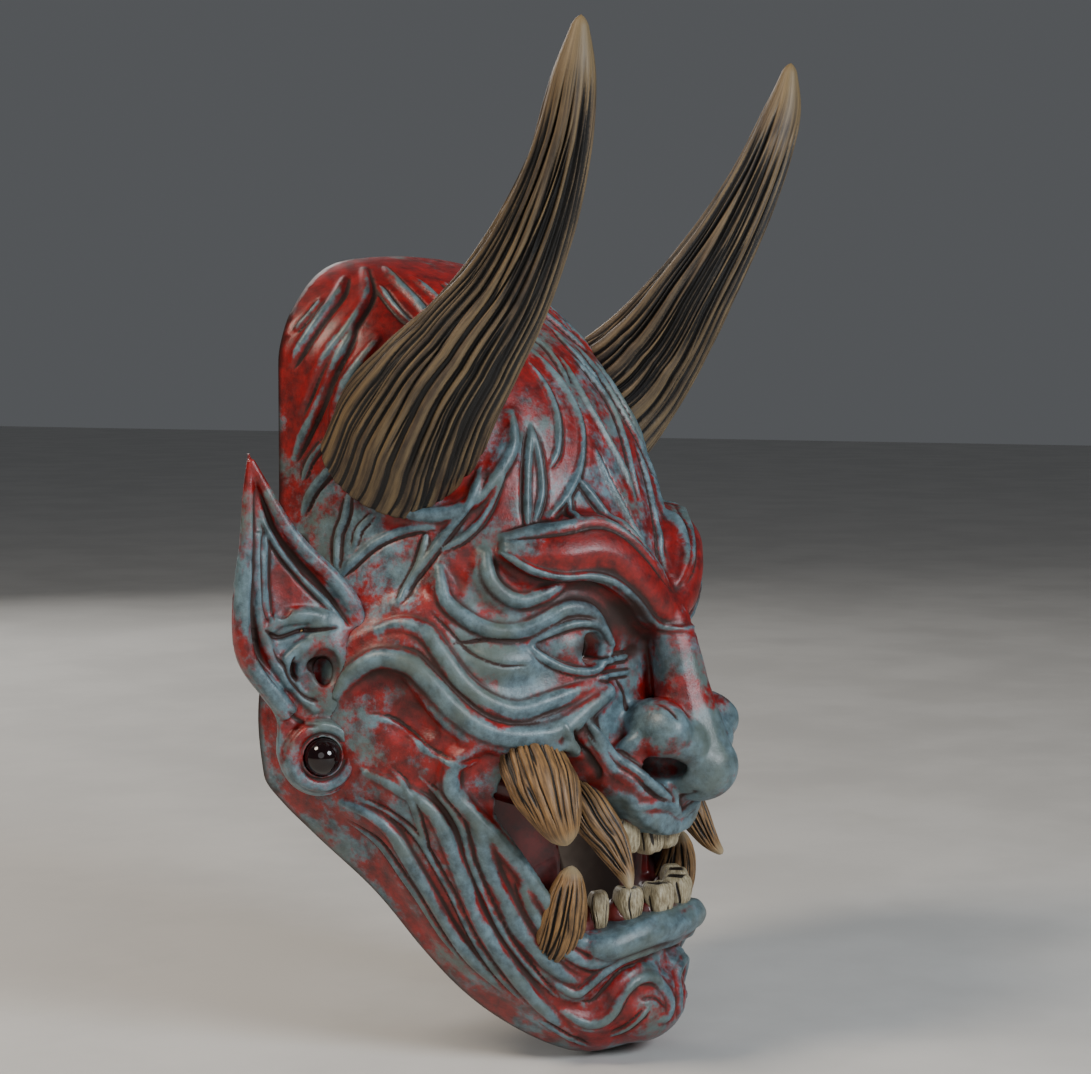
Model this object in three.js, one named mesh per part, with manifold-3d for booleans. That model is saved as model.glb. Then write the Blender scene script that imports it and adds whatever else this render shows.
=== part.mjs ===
// Horned demon mask for the noh stage: a carved and lacquered wooden face shell that carries
// separate horns, ears, gums, tusks and teeth, with leather fitting pads inside.
// Millimetres. X runs across the face, the face looks along -Y and Z is up. Heights here are
// counted from the chin, and the last step lowers everything by eyeLevel, so the origin lies
// at eye level in the middle of the back rim plane.

import * as THREE from 'three';
import { mergeVertices } from 'three/addons/utils/BufferGeometryUtils.js';
import { RoundedBoxGeometry } from 'three/addons/geometries/RoundedBoxGeometry.js';
import Module from 'manifold-3d';

const faceHeight = 278; // chin to crown
const eyeLevel = 144; // height of the eyes above the chin
const wall = 7.5; // wood left between the carved face and the hollowed back
const rimLip = 2; // straight edge of the rim before the face starts to curve
const gap = 0.3; // clearance between neighbouring pieces
const eyeOffset = 31; // half the distance between the eyes
const hornSeat = [-61, -49, 220]; // middle of the right horn's seat on the face
const hornAxis = [-0.84, -0.5, 0.2]; // way the dowel and screw leave the seat
const earFront = [-76, -35, 0]; // line where the right ear leaves the temple
const earTurn = 40; // degrees the ear is turned back from the side of the head
const beadRadius = 6.3;
const dowelRadius = 6;
const pegRadius = 4;

const red = 0x8e1410;
const darkRed = 0x4a0d0a;
const horn = 0x6f5a3f;
const bone = 0xa98a5a;
const garnet = 0x1c0a0a;
const paleWood = 0xb58a5a;
const brass = 0xb08d4a;
const hide = 0x6b4228;

const wasm = await Module();
wasm.setup();

const radians = THREE.MathUtils.degToRad;
const solids = [];

// A smooth curve through [height, value] pairs that never overshoots them.
function profile(points) {
  const slope = points.slice(1).map((p, i) => (p[1] - points[i][1]) / (p[0] - points[i][0]));
  const tangent = points.map((p, i) => {
    const before = slope[Math.max(i - 1, 0)];
    const after = slope[Math.min(i, slope.length - 1)];
    return before * after <= 0 ? 0 : (2 * before * after) / (before + after);
  });
  return (at) => {
    const last = points.length - 2;
    let i = 0;
    while (i < last && at > points[i + 1][0]) i += 1;
    const span = points[i + 1][0] - points[i][0];
    const t = THREE.MathUtils.clamp((at - points[i][0]) / span, 0, 1);
    const rise = points[i + 1][1] - points[i][1];
    const bend = span * (tangent[i] + tangent[i + 1]) - 2 * rise;
    const start = span * tangent[i];
    return points[i][1] + t * (start + t * (3 * rise - 2 * start - span * tangent[i + 1] + t * bend));
  };
}

// Half width of the face, depth of its front and depth of its rim, each at a height.
const halfWidth = profile([
  [0, 16], [6, 27], [15, 37], [30, 48], [55, 60], [80, 72], [100, 82], [120, 85], [140, 82],
  [160, 77], [200, 72], [240, 72], [252, 68], [263, 58.5], [270, 49], [275, 35], [278, 6],
]);
const frontDepth = profile([
  [0, 92], [5, 104], [12, 109], [40, 110], [60, 109], [80, 108], [100, 107], [140, 106],
  [160, 108], [180, 104], [200, 97], [220, 88], [238, 75], [252, 60], [264, 45], [272, 30], [278, 12],
]);
const rimDepth = profile([
  [0, 86], [8, 74], [20, 60], [40, 45], [60, 32], [80, 13], [90, 5], [100, 0], [300, 0],
]);

// A point of the face: angle 0 is the middle line and 90 is the right rim.
function onFace(angle, height, lift = 0) {
  const a = radians(Math.abs(angle));
  const rim = rimDepth(height) + rimLip;
  const x = (halfWidth(height) + lift) * Math.sin(a) ** 0.95;
  const depth = frontDepth(height) + lift - rim;
  return [-Math.sign(angle) * x, -(rim + depth * Math.max(Math.cos(a), 0) ** 0.95), height];
}

function toManifold(geometry) {
  geometry.deleteAttribute('normal');
  geometry.deleteAttribute('uv');
  const welded = mergeVertices(geometry, 1e-4);
  return new wasm.Manifold(new wasm.Mesh({
    numProp: 3,
    vertProperties: new Float32Array(welded.attributes.position.array),
    triVerts: new Uint32Array(welded.index.array),
  }));
}

function placed(geometry, matrix) {
  geometry.applyMatrix4(matrix);
  return toManifold(geometry);
}

// The part of a cut solid that matters when a cut leaves crumbs beside it.
function mainBody(solid) {
  const bodies = solid.decompose();
  return bodies.reduce((a, b) => (b.volume() > a.volume() ? b : a));
}

function mirrored(solid) {
  return solid.mirror([1, 0, 0]);
}

function both(solid) {
  return solid.add(mirrored(solid));
}

// The whole head form between two heights, grown or shrunk all over, open or flat behind.
function faceForm(grow, low, high, behind, columns, rows) {
  const box = new THREE.BoxGeometry(2, 1, 1, columns, 1, rows);
  const at = box.attributes.position;
  for (let i = 0; i < at.count; i += 1) {
    const even = at.getZ(i) + 0.5;
    const share = 0.45 * even + 0.55 * (0.5 - 0.5 * Math.cos(Math.PI * even));
    const level = faceHeight * share;
    const point = onFace(90 * at.getX(i) || 1e-9, level, Math.max(grow, 2 - halfWidth(level)));
    const front = at.getY(i) < 0;
    at.setXYZ(i, -point[0], front ? point[1] : behind ?? -rimDepth(level), low + (high - low) * share);
  }
  return toManifold(box);
}

// A round bar along a smooth path, its radius read evenly along the way, with optional flutes.
function bar(points, radii, sides = 8, steps = 10, extra = 0, flutes = 0) {
  const path = new THREE.CatmullRomCurve3(points.map((p) => new THREE.Vector3(...p)));
  const frames = path.computeFrenetFrames(steps, false);
  const body = new THREE.CylinderGeometry(1, 1, 1, sides, steps);
  const at = body.attributes.position;
  const radius = profile(radii.map((r, i) => [i / (radii.length - 1), r]));
  for (let i = 0; i < at.count; i += 1) {
    const step = Math.round((0.5 - at.getY(i)) * steps);
    const share = step / steps;
    const around = Math.atan2(at.getZ(i), at.getX(i));
    const flute = 1 - flutes * (0.5 + 0.5 * Math.cos((sides / 2) * around)) * (1 - share);
    const r = radius(share) * flute + extra;
    const point = path.getPointAt(share);
    point.addScaledVector(frames.normals[step], at.getX(i) * r);
    point.addScaledVector(frames.binormals[step], at.getZ(i) * r);
    at.setXYZ(i, point.x, point.y, point.z);
  }
  return toManifold(body);
}

function ellipsoid(centre, size, around = 10, up = 6) {
  const ball = new THREE.SphereGeometry(1, around, up);
  ball.scale(...size);
  ball.translate(...centre);
  return toManifold(ball);
}

// A rod between two distances along an axis through a point.
function rod(point, axis, from, to, radius, sides = 16) {
  const along = new THREE.Vector3(...axis).normalize();
  const turn = new THREE.Quaternion().setFromUnitVectors(new THREE.Vector3(0, 1, 0), along);
  const middle = new THREE.Vector3(...point).addScaledVector(along, (from + to) / 2);
  const matrix = new THREE.Matrix4().compose(middle, turn, new THREE.Vector3(1, 1, 1));
  return placed(new THREE.CylinderGeometry(radius, radius, to - from, sides, 1), matrix);
}

function turnedAt(centre, turn) {
  return new THREE.Matrix4().makeRotationZ(radians(turn)).setPosition(...centre);
}

function addPiece(name, solid, color, roughness, metalness = 0) {
  solids.push({ name, solid, color, roughness, metalness });
}

// ---- Horns: oval roots seated on the temples, sweeping forwards and up to blunt tips.
const hornPath = [
  [-50, -37, 207], [-60, -47, 219], [-65, -59, 231], [-66, -72, 245], [-66, -86, 263],
  [-69, -100, 285], [-73, -111, 308], [-77, -118, 330], [-78, -121, 348],
];
const hornRadii = [33, 27.5, 22.5, 19, 16, 13.5, 11.5, 9.5, 7.2, 2.2];
const seatUp = new THREE.Vector3(0.168, 0.1, 0.96).normalize();

function seatPoint(up) {
  return new THREE.Vector3(...hornSeat).addScaledVector(seatUp, up).toArray();
}

const dowelPoint = seatPoint(8);
const screwPoint = seatPoint(-9);
const headSkin = faceForm(gap, -1, faceHeight + 1, 4, 18, 20);
const hornBar = bar(hornPath, hornRadii, 20, 16, 0, 0.05);
const hornWood = mainBody(hornBar.subtract(headSkin));
const dowelHole = rod(dowelPoint, hornAxis, -30, 18.3, dowelRadius + gap);
const screwHole = rod(screwPoint, hornAxis, -30, 20, 2.8, 14);
const hornRight = hornWood.subtract(dowelHole).subtract(screwHole);
const hornDowel = rod(dowelPoint, hornAxis, -6.5, 18, dowelRadius);
const washerHole = rod(screwPoint, hornAxis, -12, 0, 2.8, 14);
const hornWasher = rod(screwPoint, hornAxis, -8.4, -7, 8).subtract(washerHole);
const screwShank = rod(screwPoint, hornAxis, -9, 18, 2.4, 12);
const hornScrew = screwShank.add(rod(screwPoint, hornAxis, -11.6, -8.7, 5, 16));
const washerSeat = rod(screwPoint, hornAxis, -40, -6.7, 9);

// ---- Ears: pointed, flared plates with a hollow, a rolled rim and a round lobe for the bead.
const turned = radians(earTurn);
const earOut = new THREE.Vector3(-Math.cos(turned), Math.sin(turned), 0);
const earIn = new THREE.Vector3(Math.sin(turned), Math.cos(turned), 0);
const earMatrix = new THREE.Matrix4().makeBasis(earOut, new THREE.Vector3(0, 0, 1), earIn);
earMatrix.setPosition(...earFront);

// A point of the ear: out from the temple, height, and depth behind its front face.
function onEar(out, height, depth = 0) {
  return new THREE.Vector3(out, height, depth).applyMatrix4(earMatrix).toArray();
}

function earPlate(outline, from, depth, bevel) {
  const shape = new THREE.Shape(outline.map((p) => new THREE.Vector2(...p)));
  const plate = new THREE.ExtrudeGeometry(shape, {
    depth,
    steps: 1,
    bevelEnabled: bevel > 0,
    bevelThickness: bevel,
    bevelSize: bevel,
    bevelOffset: -bevel,
    bevelSegments: 1,
  });
  plate.translate(0, 0, from);
  return placed(mergeVertices(plate.deleteAttribute('uv') && plate, 1e-4), earMatrix);
}

const earOutline = [
  [36, 210], [38, 196], [39, 182], [41, 168], [42, 154], [41, 144], [38, 137], [32, 129], [27, 121],
  [27, 109], [22, 99], [13, 95], [4, 98], [-1, 108], [1, 116], [2, 124], [-1, 132], [-2, 142],
  [-3, 152], [1, 159],
  [8, 167], [17, 176], [24, 186], [30, 197],
];
const earHollow = [
  [33, 192], [34, 180], [36, 166], [36, 152], [32, 141], [26, 133], [18, 128], [11, 127], [6, 131],
  [4, 138], [2, 146], [3, 153], [9, 159], [16, 166], [23, 176], [28, 185],
];
const beadCentre = onEar(13, 109, -1.5);
const outerFold = [[8, 154], [14, 156], [23, 155], [30, 151], [29, 142], [24, 134], [17, 128]];
const innerFold = [[0, 151], [8, 147], [17, 144], [21, 139], [20, 133]];
const pegPoint = onEar(16, 148);
const earPegAxis = earIn.toArray();
const beadSocket = ellipsoid(beadCentre, [beadRadius + gap, beadRadius + gap, beadRadius + gap], 14, 10);
const earRight = mainBody(
  earPlate(earOutline, 0, 6, 1.4)
    .subtract(earPlate(earHollow, -5, 7.6, 0))
    .add(bar(outerFold.map((p) => onEar(...p, 2.6)), [1.6, 2.6, 2.8, 2.4, 2], 6, 9))
    .add(bar(innerFold.map((p) => onEar(...p, 2.6)), [2, 2.2, 1.8], 6, 6))
    .add(rod(onEar(13, 109), earPegAxis, -2.6, 5, 13.2, 18))
    .add(ellipsoid(onEar(9, 140, 9), [13, 12, 24], 12, 8))
    .subtract(rod(onEar(12, 137), earPegAxis, -6, 7, 3.4, 12))
    .subtract(beadSocket)
    .subtract(rod(pegPoint, earPegAxis, 3.6, 40, pegRadius + gap, 16))
    .subtract(headSkin),
);
const earPeg = rod(pegPoint, earPegAxis, 4, 19, pegRadius, 16);
const bead = ellipsoid(beadCentre, [beadRadius, beadRadius, beadRadius], 14, 10);

// ---- Mouth: two gum arches that hold the tusks and teeth. The lower one rises behind each
// corner of the mouth as a thin cheek wall.
const upperArch = [
  [-50, -70, 99], [-38, -84, 94], [-25, -91, 90], [0, -94.5, 88], [25, -91, 90], [38, -84, 94], [50, -70, 99],
];
const lowerArch = [
  [-47, -70, 64], [-38, -84, 51], [-24, -94, 45], [0, -99, 44], [24, -94, 45], [38, -84, 51], [47, -70, 64],
];
const cheekWall = [[-53, -64, 82], [-44, -76, 78], [-33, -85.5, 70]];
const upperGumRadii = [5, 6.5, 6.5, 6.5, 6.5, 6.5, 5];
const lowerGumRadii = [4.5, 6, 6, 6, 6, 6, 4.5];
const tusks = {
  upper_outer_tusk: [
    [[-44, -77, 110], [-50, -87, 106], [-55, -96, 97], [-56, -101, 89], [-54, -102, 82]],
    [9, 12.4, 12.6, 9, 3.2],
  ],
  upper_inner_tusk: [
    [[-31, -91, 96], [-32, -99, 88], [-31, -106, 79], [-32, -112, 70], [-35, -116, 64.5]],
    [6, 7, 6.2, 4.2, 1.2],
  ],
  lower_tusk: [
    [[-37, -86, 40], [-40, -92, 49], [-41, -95, 59], [-39, -96, 71]],
    [7, 8.4, 7, 2.4],
  ],
};
const upperTeeth = [
  [[-6, -107.5, 78], [10, 9, 15], 6],
  [[-17, -104, 79.5], [10, 9, 15], 20],
];
const lowerTeeth = [
  [[-7, -111.5, 55], [11.5, 10, 14], 8],
  [[-18, -106, 55], [9.5, 9.5, 13.5], 26],
  [[-27, -99.5, 54], [6.5, 8, 14], 40],
];

// A gum ridge, one and a half times as tall as it is thick.
function gumRidge(arch, radii, extra = 0) {
  return bar(arch.map(([x, y, height]) => [x, y, height / 1.5]), radii, 8, 12, extra).scale([1, 1, 1.5]);
}

function cheekWeb(extra = 0) {
  const radius = (1.7 + extra) / 1.7;
  const wallBar = bar(cheekWall.map(([x, y, height]) => [x, y, height / 10]), [1.7, 1.7, 1.7], 8, 6, extra);
  return both(wallBar.scale([1, 1, 10 / radius ** 0.5]).translate([0, 0, 76 - 76 / radius ** 0.5]));
}

function toothBlock([centre, size, turn]) {
  return placed(new RoundedBoxGeometry(...size, 1, 2.2), turnedAt(centre, -turn));
}

function toothSocket([centre, size, turn]) {
  return placed(new THREE.BoxGeometry(...size.map((s) => s + 2 * gap)), turnedAt(centre, -turn));
}

const sockets = [];
for (const [name, [path, radii]] of Object.entries(tusks)) {
  const tusk = bar(path, radii, 8, 7, 0, 0.05);
  addPiece(`${name}_right`, tusk, bone, 0.45);
  addPiece(`${name}_left`, mirrored(tusk), bone, 0.45);
  sockets.push(both(bar(path, radii, 8, 7, gap)));
}
for (const [name, teeth] of [['upper_tooth', upperTeeth], ['lower_tooth', lowerTeeth]]) {
  teeth.forEach((tooth, i) => {
    addPiece(`${name}_right_${i + 1}`, toothBlock(tooth), bone, 0.4);
    addPiece(`${name}_left_${i + 1}`, mirrored(toothBlock(tooth)), bone, 0.4);
    sockets.push(both(toothSocket(tooth)));
  });
}
const socketCut = wasm.Manifold.union(sockets);
const upperGum = gumRidge(upperArch, upperGumRadii);
const upperGumZone = gumRidge(upperArch, upperGumRadii, gap);
const lowerGum = gumRidge(lowerArch, lowerGumRadii).add(cheekWeb()).subtract(upperGumZone);
addPiece('upper_gum', mainBody(upperGum.subtract(socketCut)), darkRed, 0.5);
addPiece('lower_gum', mainBody(lowerGum.subtract(socketCut)), darkRed, 0.5);

// ---- Face shell: the carved form with its folds, hollowed behind and cut for every inset piece.
function fold(points, radii, lift, sides = 5, steps = 6) {
  const path = points.map(([angle, height, more = 0]) => onFace(angle, height, lift + more));
  return bar(path, radii, sides, steps);
}

const sideFolds = [
  fold(
    [[43, 180], [37, 175], [30, 175], [23, 176], [17, 173], [12, 167], [5, 158], [-3, 155]],
    [2.5, 4.5, 6, 7, 8, 8.4, 8, 7.5], 4, 6, 8,
  ),
  fold(
    [[68, 152], [61, 152], [55, 142], [49, 131], [42, 126], [34, 127], [24, 131]],
    [2, 4, 4.5, 4.5, 4, 3.5, 2], 1, 5, 7,
  ),
  fold(
    [[70, 138], [65, 142], [60, 138], [53, 127], [46, 119], [37, 117], [27, 121], [17, 129]],
    [2, 4, 4.5, 5, 4.5, 4, 3], 2, 5, 8,
  ),
  fold(
    [[45, 113], [37, 114], [31, 106], [26, 99], [19, 91], [10, 85], [-3, 81]],
    [3, 4, 4.5, 5.5, 7, 8, 8.5], 2.5, 6, 8,
  ),
  fold([[36, 42], [29, 43], [21, 44.5], [11, 46], [-3, 46]], [4, 5.2, 6, 6.4, 6.6], 3.8, 7, 6),
  fold(
    [[37, 42], [43, 51], [46, 66], [50, 82], [54, 96], [52, 107], [46, 113]],
    [4, 4, 4.2, 4.5, 4.5, 4, 3], 1.5, 5, 7,
  ),
  fold([[75, 90], [72, 80], [75, 62], [76, 44], [73, 27]], [1.4, 3.4, 3.6, 3.4, 1.4], 0.5),
  fold([[68, 101], [61, 92], [62, 77], [65, 60], [66, 45], [62, 18]], [1.4, 3.6, 4, 3.8, 1.4], 0.5, 5, 7),
  fold([[56, 90], [54, 78], [56, 62], [54, 45], [48, 34], [38, 31]], [1.4, 3.6, 4, 3.4, 1.4], 0.5),
  fold([[57, 171], [53, 157], [46, 151], [38, 153], [31, 158], [22, 153]], [1.4, 3, 3.4, 3, 1.6], 0.5),
  fold([[19, 238], [20, 222], [27, 206], [35, 190]], [1.2, 2.6, 2.6, 1.2], 0.3),
  fold([[12, 242], [12, 220], [20, 203], [31, 192]], [1.2, 2.8, 2.6, 1.2], 0.3),
  fold([[19, 200], [13, 184], [8, 172], [2, 163]], [1.4, 3, 3, 1.6], 0.5),
  fold([[3, 238], [4, 220], [2, 204], [1.5, 190]], [1.2, 2.6, 2.6, 1.2], 0.2, 6, 8),
  ellipsoid(onFace(36, 139, -5), [15, 13, 10]),
  ellipsoid(onFace(25, 145, -6), [14, 10, 10]),
  ellipsoid([-15, -113, 115], [9.5, 13, 12]),
];
const collarTurn = new THREE.Quaternion().setFromUnitVectors(
  new THREE.Vector3(0, 0, 1),
  new THREE.Vector3(...hornAxis).normalize(),
);
const collar = placed(
  new THREE.TorusGeometry(29, 4.2, 6, 20),
  new THREE.Matrix4().compose(new THREE.Vector3(...hornSeat), collarTurn, new THREE.Vector3(1, 1, 1)),
);
const hornClearance = bar(hornPath, hornRadii, 20, 16, gap, 0);
const middleForms = [
  bar(
    [[0, -103, 160], [0, -113, 147], [0, -117, 132], [0, -121, 116], [0, -125, 101]],
    [9, 10, 11, 12.5, 11], 8, 8,
  ),
  ellipsoid([0, -124, 103], [13.5, 14, 14], 14, 9),
  ellipsoid([0, -99, 19], [24, 15, 15], 12, 8),
];
const addedForms = [...sideFolds, collar].map(both).concat(middleForms);
const carved = wasm.Manifold.union(addedForms).subtract(both(hornClearance));
const hollow = faceForm(-wall, 7, faceHeight - 6.5, 8, 14, 14);
const mouthOutline = [
  [0, 77.5], [10, 79], [20, 84], [28, 91], [34, 100], [39, 108], [46, 112], [55, 109], [62, 103],
  [61, 92], [56, 80], [50, 68], [44, 58], [39, 50], [33, 46], [25, 49], [15, 51.5], [0, 52],
];
const mouthSide = new THREE.Shape(mouthOutline.map(([x, height]) => new THREE.Vector2(x, height)));
const mouthCut = placed(
  new THREE.ExtrudeGeometry(mouthSide, { depth: 130, bevelEnabled: false }),
  new THREE.Matrix4().makeRotationX(Math.PI / 2).setPosition(0, -30, 0),
);
const eyeTube = rod([0, 0, 0], [0, 1, 0], -140, -30, 1, 14);
const eyeCut = eyeTube.scale([4.8, 1, 5.8]).translate([-eyeOffset, 0, eyeLevel]);
const nostrilCut = ellipsoid([-14.5, -116, 104], [7, 8, 5.5]);
const cordHole = rod([-60, -10, 178], [1, 0, 0], -40, 40, 3, 14);
const pegHole = rod(pegPoint, earPegAxis, 6, 40, pegRadius + gap, 16);
const gumSockets = [upperGumZone, gumRidge(lowerArch, lowerGumRadii, gap), cheekWeb(gap)];
const sideCuts = [
  mouthCut, eyeCut, nostrilCut, cordHole, pegHole, beadSocket, dowelHole, screwHole, washerSeat,
];
const cuts = wasm.Manifold.union([...sideCuts.map(both), ...gumSockets, socketCut]);
const headForm = faceForm(0, 0, faceHeight, undefined, 18, 20);
const widerEar = earOutline.map(([out, height]) => [out < 10 ? out - 1 : out + 1, height]);
const earZone = earPlate(widerEar, -4, 40, 0);
const seatZones = both(hornClearance.add(earZone)).subtract(headForm);
const carvedShell = headForm.add(carved).simplify(1.2).subtract(hollow);
const faceShell = mainBody(carvedShell.subtract(cuts).subtract(seatZones)).simplify(0.1);

// ---- Fitting pads: slabs that follow the hollow, cut out where they are glued in.
const padSlab = faceForm(-wall - gap, 7.4, faceHeight - 6.9, 6, 14, 14)
  .subtract(faceForm(-wall - 9, 12, faceHeight - 12, 7, 14, 14));
const foreheadBlock = placed(new RoundedBoxGeometry(74, 90, 24, 1, 6), turnedAt([0, -60, 236], 0));
const foreheadPad = mainBody(padSlab.intersect(foreheadBlock));
const cheekBlock = placed(new RoundedBoxGeometry(40, 28, 40, 1, 6), turnedAt([-66, -26, 112], 0));
const cheekPad = mainBody(padSlab.intersect(cheekBlock));

addPiece('face_shell', faceShell, red, 0.38);
for (const [side, turn] of [['right', (s) => s], ['left', mirrored]]) {
  addPiece(`horn_${side}`, turn(hornRight), horn, 0.5);
  addPiece(`horn_dowel_${side}`, turn(hornDowel), paleWood, 0.7);
  addPiece(`horn_screw_${side}`, turn(hornScrew), brass, 0.35, 1);
  addPiece(`horn_washer_${side}`, turn(hornWasher), brass, 0.35, 1);
  addPiece(`ear_${side}`, turn(earRight), red, 0.38);
  addPiece(`ear_peg_${side}`, turn(earPeg), paleWood, 0.7);
  addPiece(`ear_bead_${side}`, turn(bead), garnet, 0.05);
  addPiece(`cheek_pad_${side}`, turn(cheekPad), hide, 0.8);
}
addPiece('forehead_pad', foreheadPad, hide, 0.8);

const mask = new THREE.Group();
mask.name = 'noh_mask';
for (const { name, solid, color, roughness, metalness } of solids) {
  const { vertProperties, triVerts } = solid.translate([0, 0, -eyeLevel]).getMesh();
  const geometry = new THREE.BufferGeometry();
  geometry.setAttribute('position', new THREE.BufferAttribute(new Float32Array(vertProperties), 3));
  geometry.setIndex(new THREE.BufferAttribute(new Uint32Array(triVerts), 1));
  geometry.computeVertexNormals();
  const mesh = new THREE.Mesh(geometry, new THREE.MeshStandardMaterial({ color, roughness, metalness }));
  mesh.name = name;
  mask.add(mesh);
}

export default mask;
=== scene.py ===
import math
import random
import bpy
import bmesh
import numpy as np
from mathutils import Matrix, Vector


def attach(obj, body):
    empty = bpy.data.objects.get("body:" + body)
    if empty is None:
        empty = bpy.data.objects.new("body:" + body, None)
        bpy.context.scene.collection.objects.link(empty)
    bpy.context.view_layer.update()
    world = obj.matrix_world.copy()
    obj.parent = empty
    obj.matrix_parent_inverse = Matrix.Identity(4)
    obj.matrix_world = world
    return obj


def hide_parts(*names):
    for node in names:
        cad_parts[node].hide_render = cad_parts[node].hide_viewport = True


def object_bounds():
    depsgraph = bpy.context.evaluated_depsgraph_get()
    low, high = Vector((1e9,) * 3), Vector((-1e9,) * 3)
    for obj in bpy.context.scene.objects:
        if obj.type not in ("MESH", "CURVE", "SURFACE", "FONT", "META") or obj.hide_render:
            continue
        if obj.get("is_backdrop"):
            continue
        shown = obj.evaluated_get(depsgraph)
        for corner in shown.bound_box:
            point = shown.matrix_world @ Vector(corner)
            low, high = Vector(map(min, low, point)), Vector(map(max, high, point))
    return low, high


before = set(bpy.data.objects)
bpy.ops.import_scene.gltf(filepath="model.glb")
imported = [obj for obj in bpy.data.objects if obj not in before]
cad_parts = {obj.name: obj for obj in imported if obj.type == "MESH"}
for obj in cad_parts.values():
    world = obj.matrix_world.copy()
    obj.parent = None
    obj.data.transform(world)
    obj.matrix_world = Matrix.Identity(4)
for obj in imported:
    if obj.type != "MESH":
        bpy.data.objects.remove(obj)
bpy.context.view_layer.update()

# Horned demon mask. The carving is done in millimetres with heights counted from the chin,
# and each finished piece is lowered to the row frame, which has its origin at eye level.

random.seed(41)
eyeLevel = 144
faceHeight = 278
rimLip = 2


def say(words):
    print("stage:", words, flush=True)


def linear(hexColor):
    parts = [int(hexColor[i:i + 2], 16) / 255 for i in (1, 3, 5)]
    return [p / 12.92 if p <= 0.04045 else ((p + 0.055) / 1.055) ** 2.4 for p in parts] + [1.0]


# ---- carving tools

def profile(points):
    xs, ys = np.array(points, float).T
    slope = np.diff(ys) / np.diff(xs)
    before, after = np.r_[slope[0], slope], np.r_[slope, slope[-1]]
    total = np.where(np.abs(before + after) < 1e-12, 1, before + after)
    tangent = np.where(before * after > 0, 2 * before * after / total, 0)

    def read(at):
        at = np.clip(at, xs[0], xs[-1])
        i = np.clip(np.searchsorted(xs, at, side="right") - 1, 0, len(xs) - 2)
        span, rise = xs[i + 1] - xs[i], ys[i + 1] - ys[i]
        t, start = (at - xs[i]) / span, span * tangent[i]
        bend = start + span * tangent[i + 1] - 2 * rise
        return ys[i] + t * (start + t * (3 * rise - 2 * start - span * tangent[i + 1] + t * bend))
    return read


halfWidth = profile([(0, 16), (6, 27), (15, 37), (30, 48), (55, 60), (80, 72), (100, 82), (120, 85), (140, 82),
                     (160, 77), (200, 72), (240, 72), (252, 68), (263, 58.5), (270, 49), (275, 35), (278, 6)])
frontDepth = profile([(0, 92), (5, 104), (12, 109), (40, 110), (60, 109), (80, 108), (100, 107), (140, 106),
                      (160, 108), (180, 104), (200, 97), (220, 88), (238, 75), (252, 60), (264, 45), (272, 30),
                      (278, 12)])
rimDepth = profile([(0, 86), (8, 74), (20, 60), (40, 45), (60, 32), (80, 13), (90, 5), (100, 0), (300, 0)])


def onFace(angle, height, lift=0.0):  # angle 0 is the middle line, 90 the right rim
    angle, height = np.asarray(angle, float), np.asarray(height, float)
    a, rim = np.radians(np.abs(angle)), rimDepth(height) + rimLip
    x = (halfWidth(height) + lift) * np.sin(a) ** 0.95
    y = rim + (frontDepth(height) + lift - rim) * np.clip(np.cos(a), 0, 1) ** 0.95
    return np.stack([-np.sign(angle) * x, -y, height + 0 * angle], -1)


def faceAngle(co):  # the angle of a point on or near the face, from either side
    height = np.clip(co[:, 2], 0.5, faceHeight - 0.5)
    rim = rimDepth(height) + rimLip
    s = (np.abs(co[:, 0]) / halfWidth(height)) ** (1 / 0.95)
    c = (np.clip(-co[:, 1] - rim, 0, None) / (frontDepth(height) - rim)) ** (1 / 0.95)
    return np.degrees(np.arctan2(s, c)), height


def smoothPath(points, count):  # a smooth curve through the points, evenly read
    p = np.array(points, float)
    p = np.vstack([2 * p[0] - p[1], p, 2 * p[-1] - p[-2]])
    rows = []
    for i in range(1, len(p) - 2):
        t = np.linspace(0, 1, 16, endpoint=i == len(p) - 3)[:, None]
        a, b, c, d = p[i - 1], p[i], p[i + 1], p[i + 2]
        rows.append(0.5 * (2 * b + (c - a) * t + (2 * a - 5 * b + 4 * c - d) * t ** 2
                           + (3 * b - a - 3 * c + d) * t ** 3))
    dense = np.vstack(rows)
    run = np.r_[0, np.cumsum(np.linalg.norm(np.diff(dense, axis=0), axis=1))]
    even = np.linspace(0, run[-1], count)
    return np.stack([np.interp(even, run, dense[:, k]) for k in range(dense.shape[1])], -1)


def readCo(mesh):
    co = np.empty(len(mesh.vertices) * 3)
    mesh.vertices.foreach_get("co", co)
    return co.reshape(-1, 3)


def writeCo(mesh, co):
    mesh.vertices.foreach_set("co", np.ascontiguousarray(co, float).ravel())
    mesh.update()


def readNormals(mesh):
    out = np.empty(len(mesh.vertices) * 3, np.float32)
    mesh.vertex_normals.foreach_get("vector", out)
    return out.reshape(-1, 3).astype(float)


def readEdges(mesh):
    edges = np.empty(len(mesh.edges) * 2, np.int32)
    mesh.edges.foreach_get("vertices", edges)
    return edges.reshape(-1, 2)


def relaxed(values, edges, times, share=0.5):
    n, a, b = len(values), edges[:, 0], edges[:, 1]
    near = np.maximum(np.bincount(a, minlength=n) + np.bincount(b, minlength=n), 1)
    out = values.copy()
    for step in range(times):
        for k in range(out.shape[1]):
            column = out[:, k]
            mean = (np.bincount(a, column[b], n) + np.bincount(b, column[a], n)) / near
            out[:, k] = column + share * (mean - column)
    return out


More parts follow.
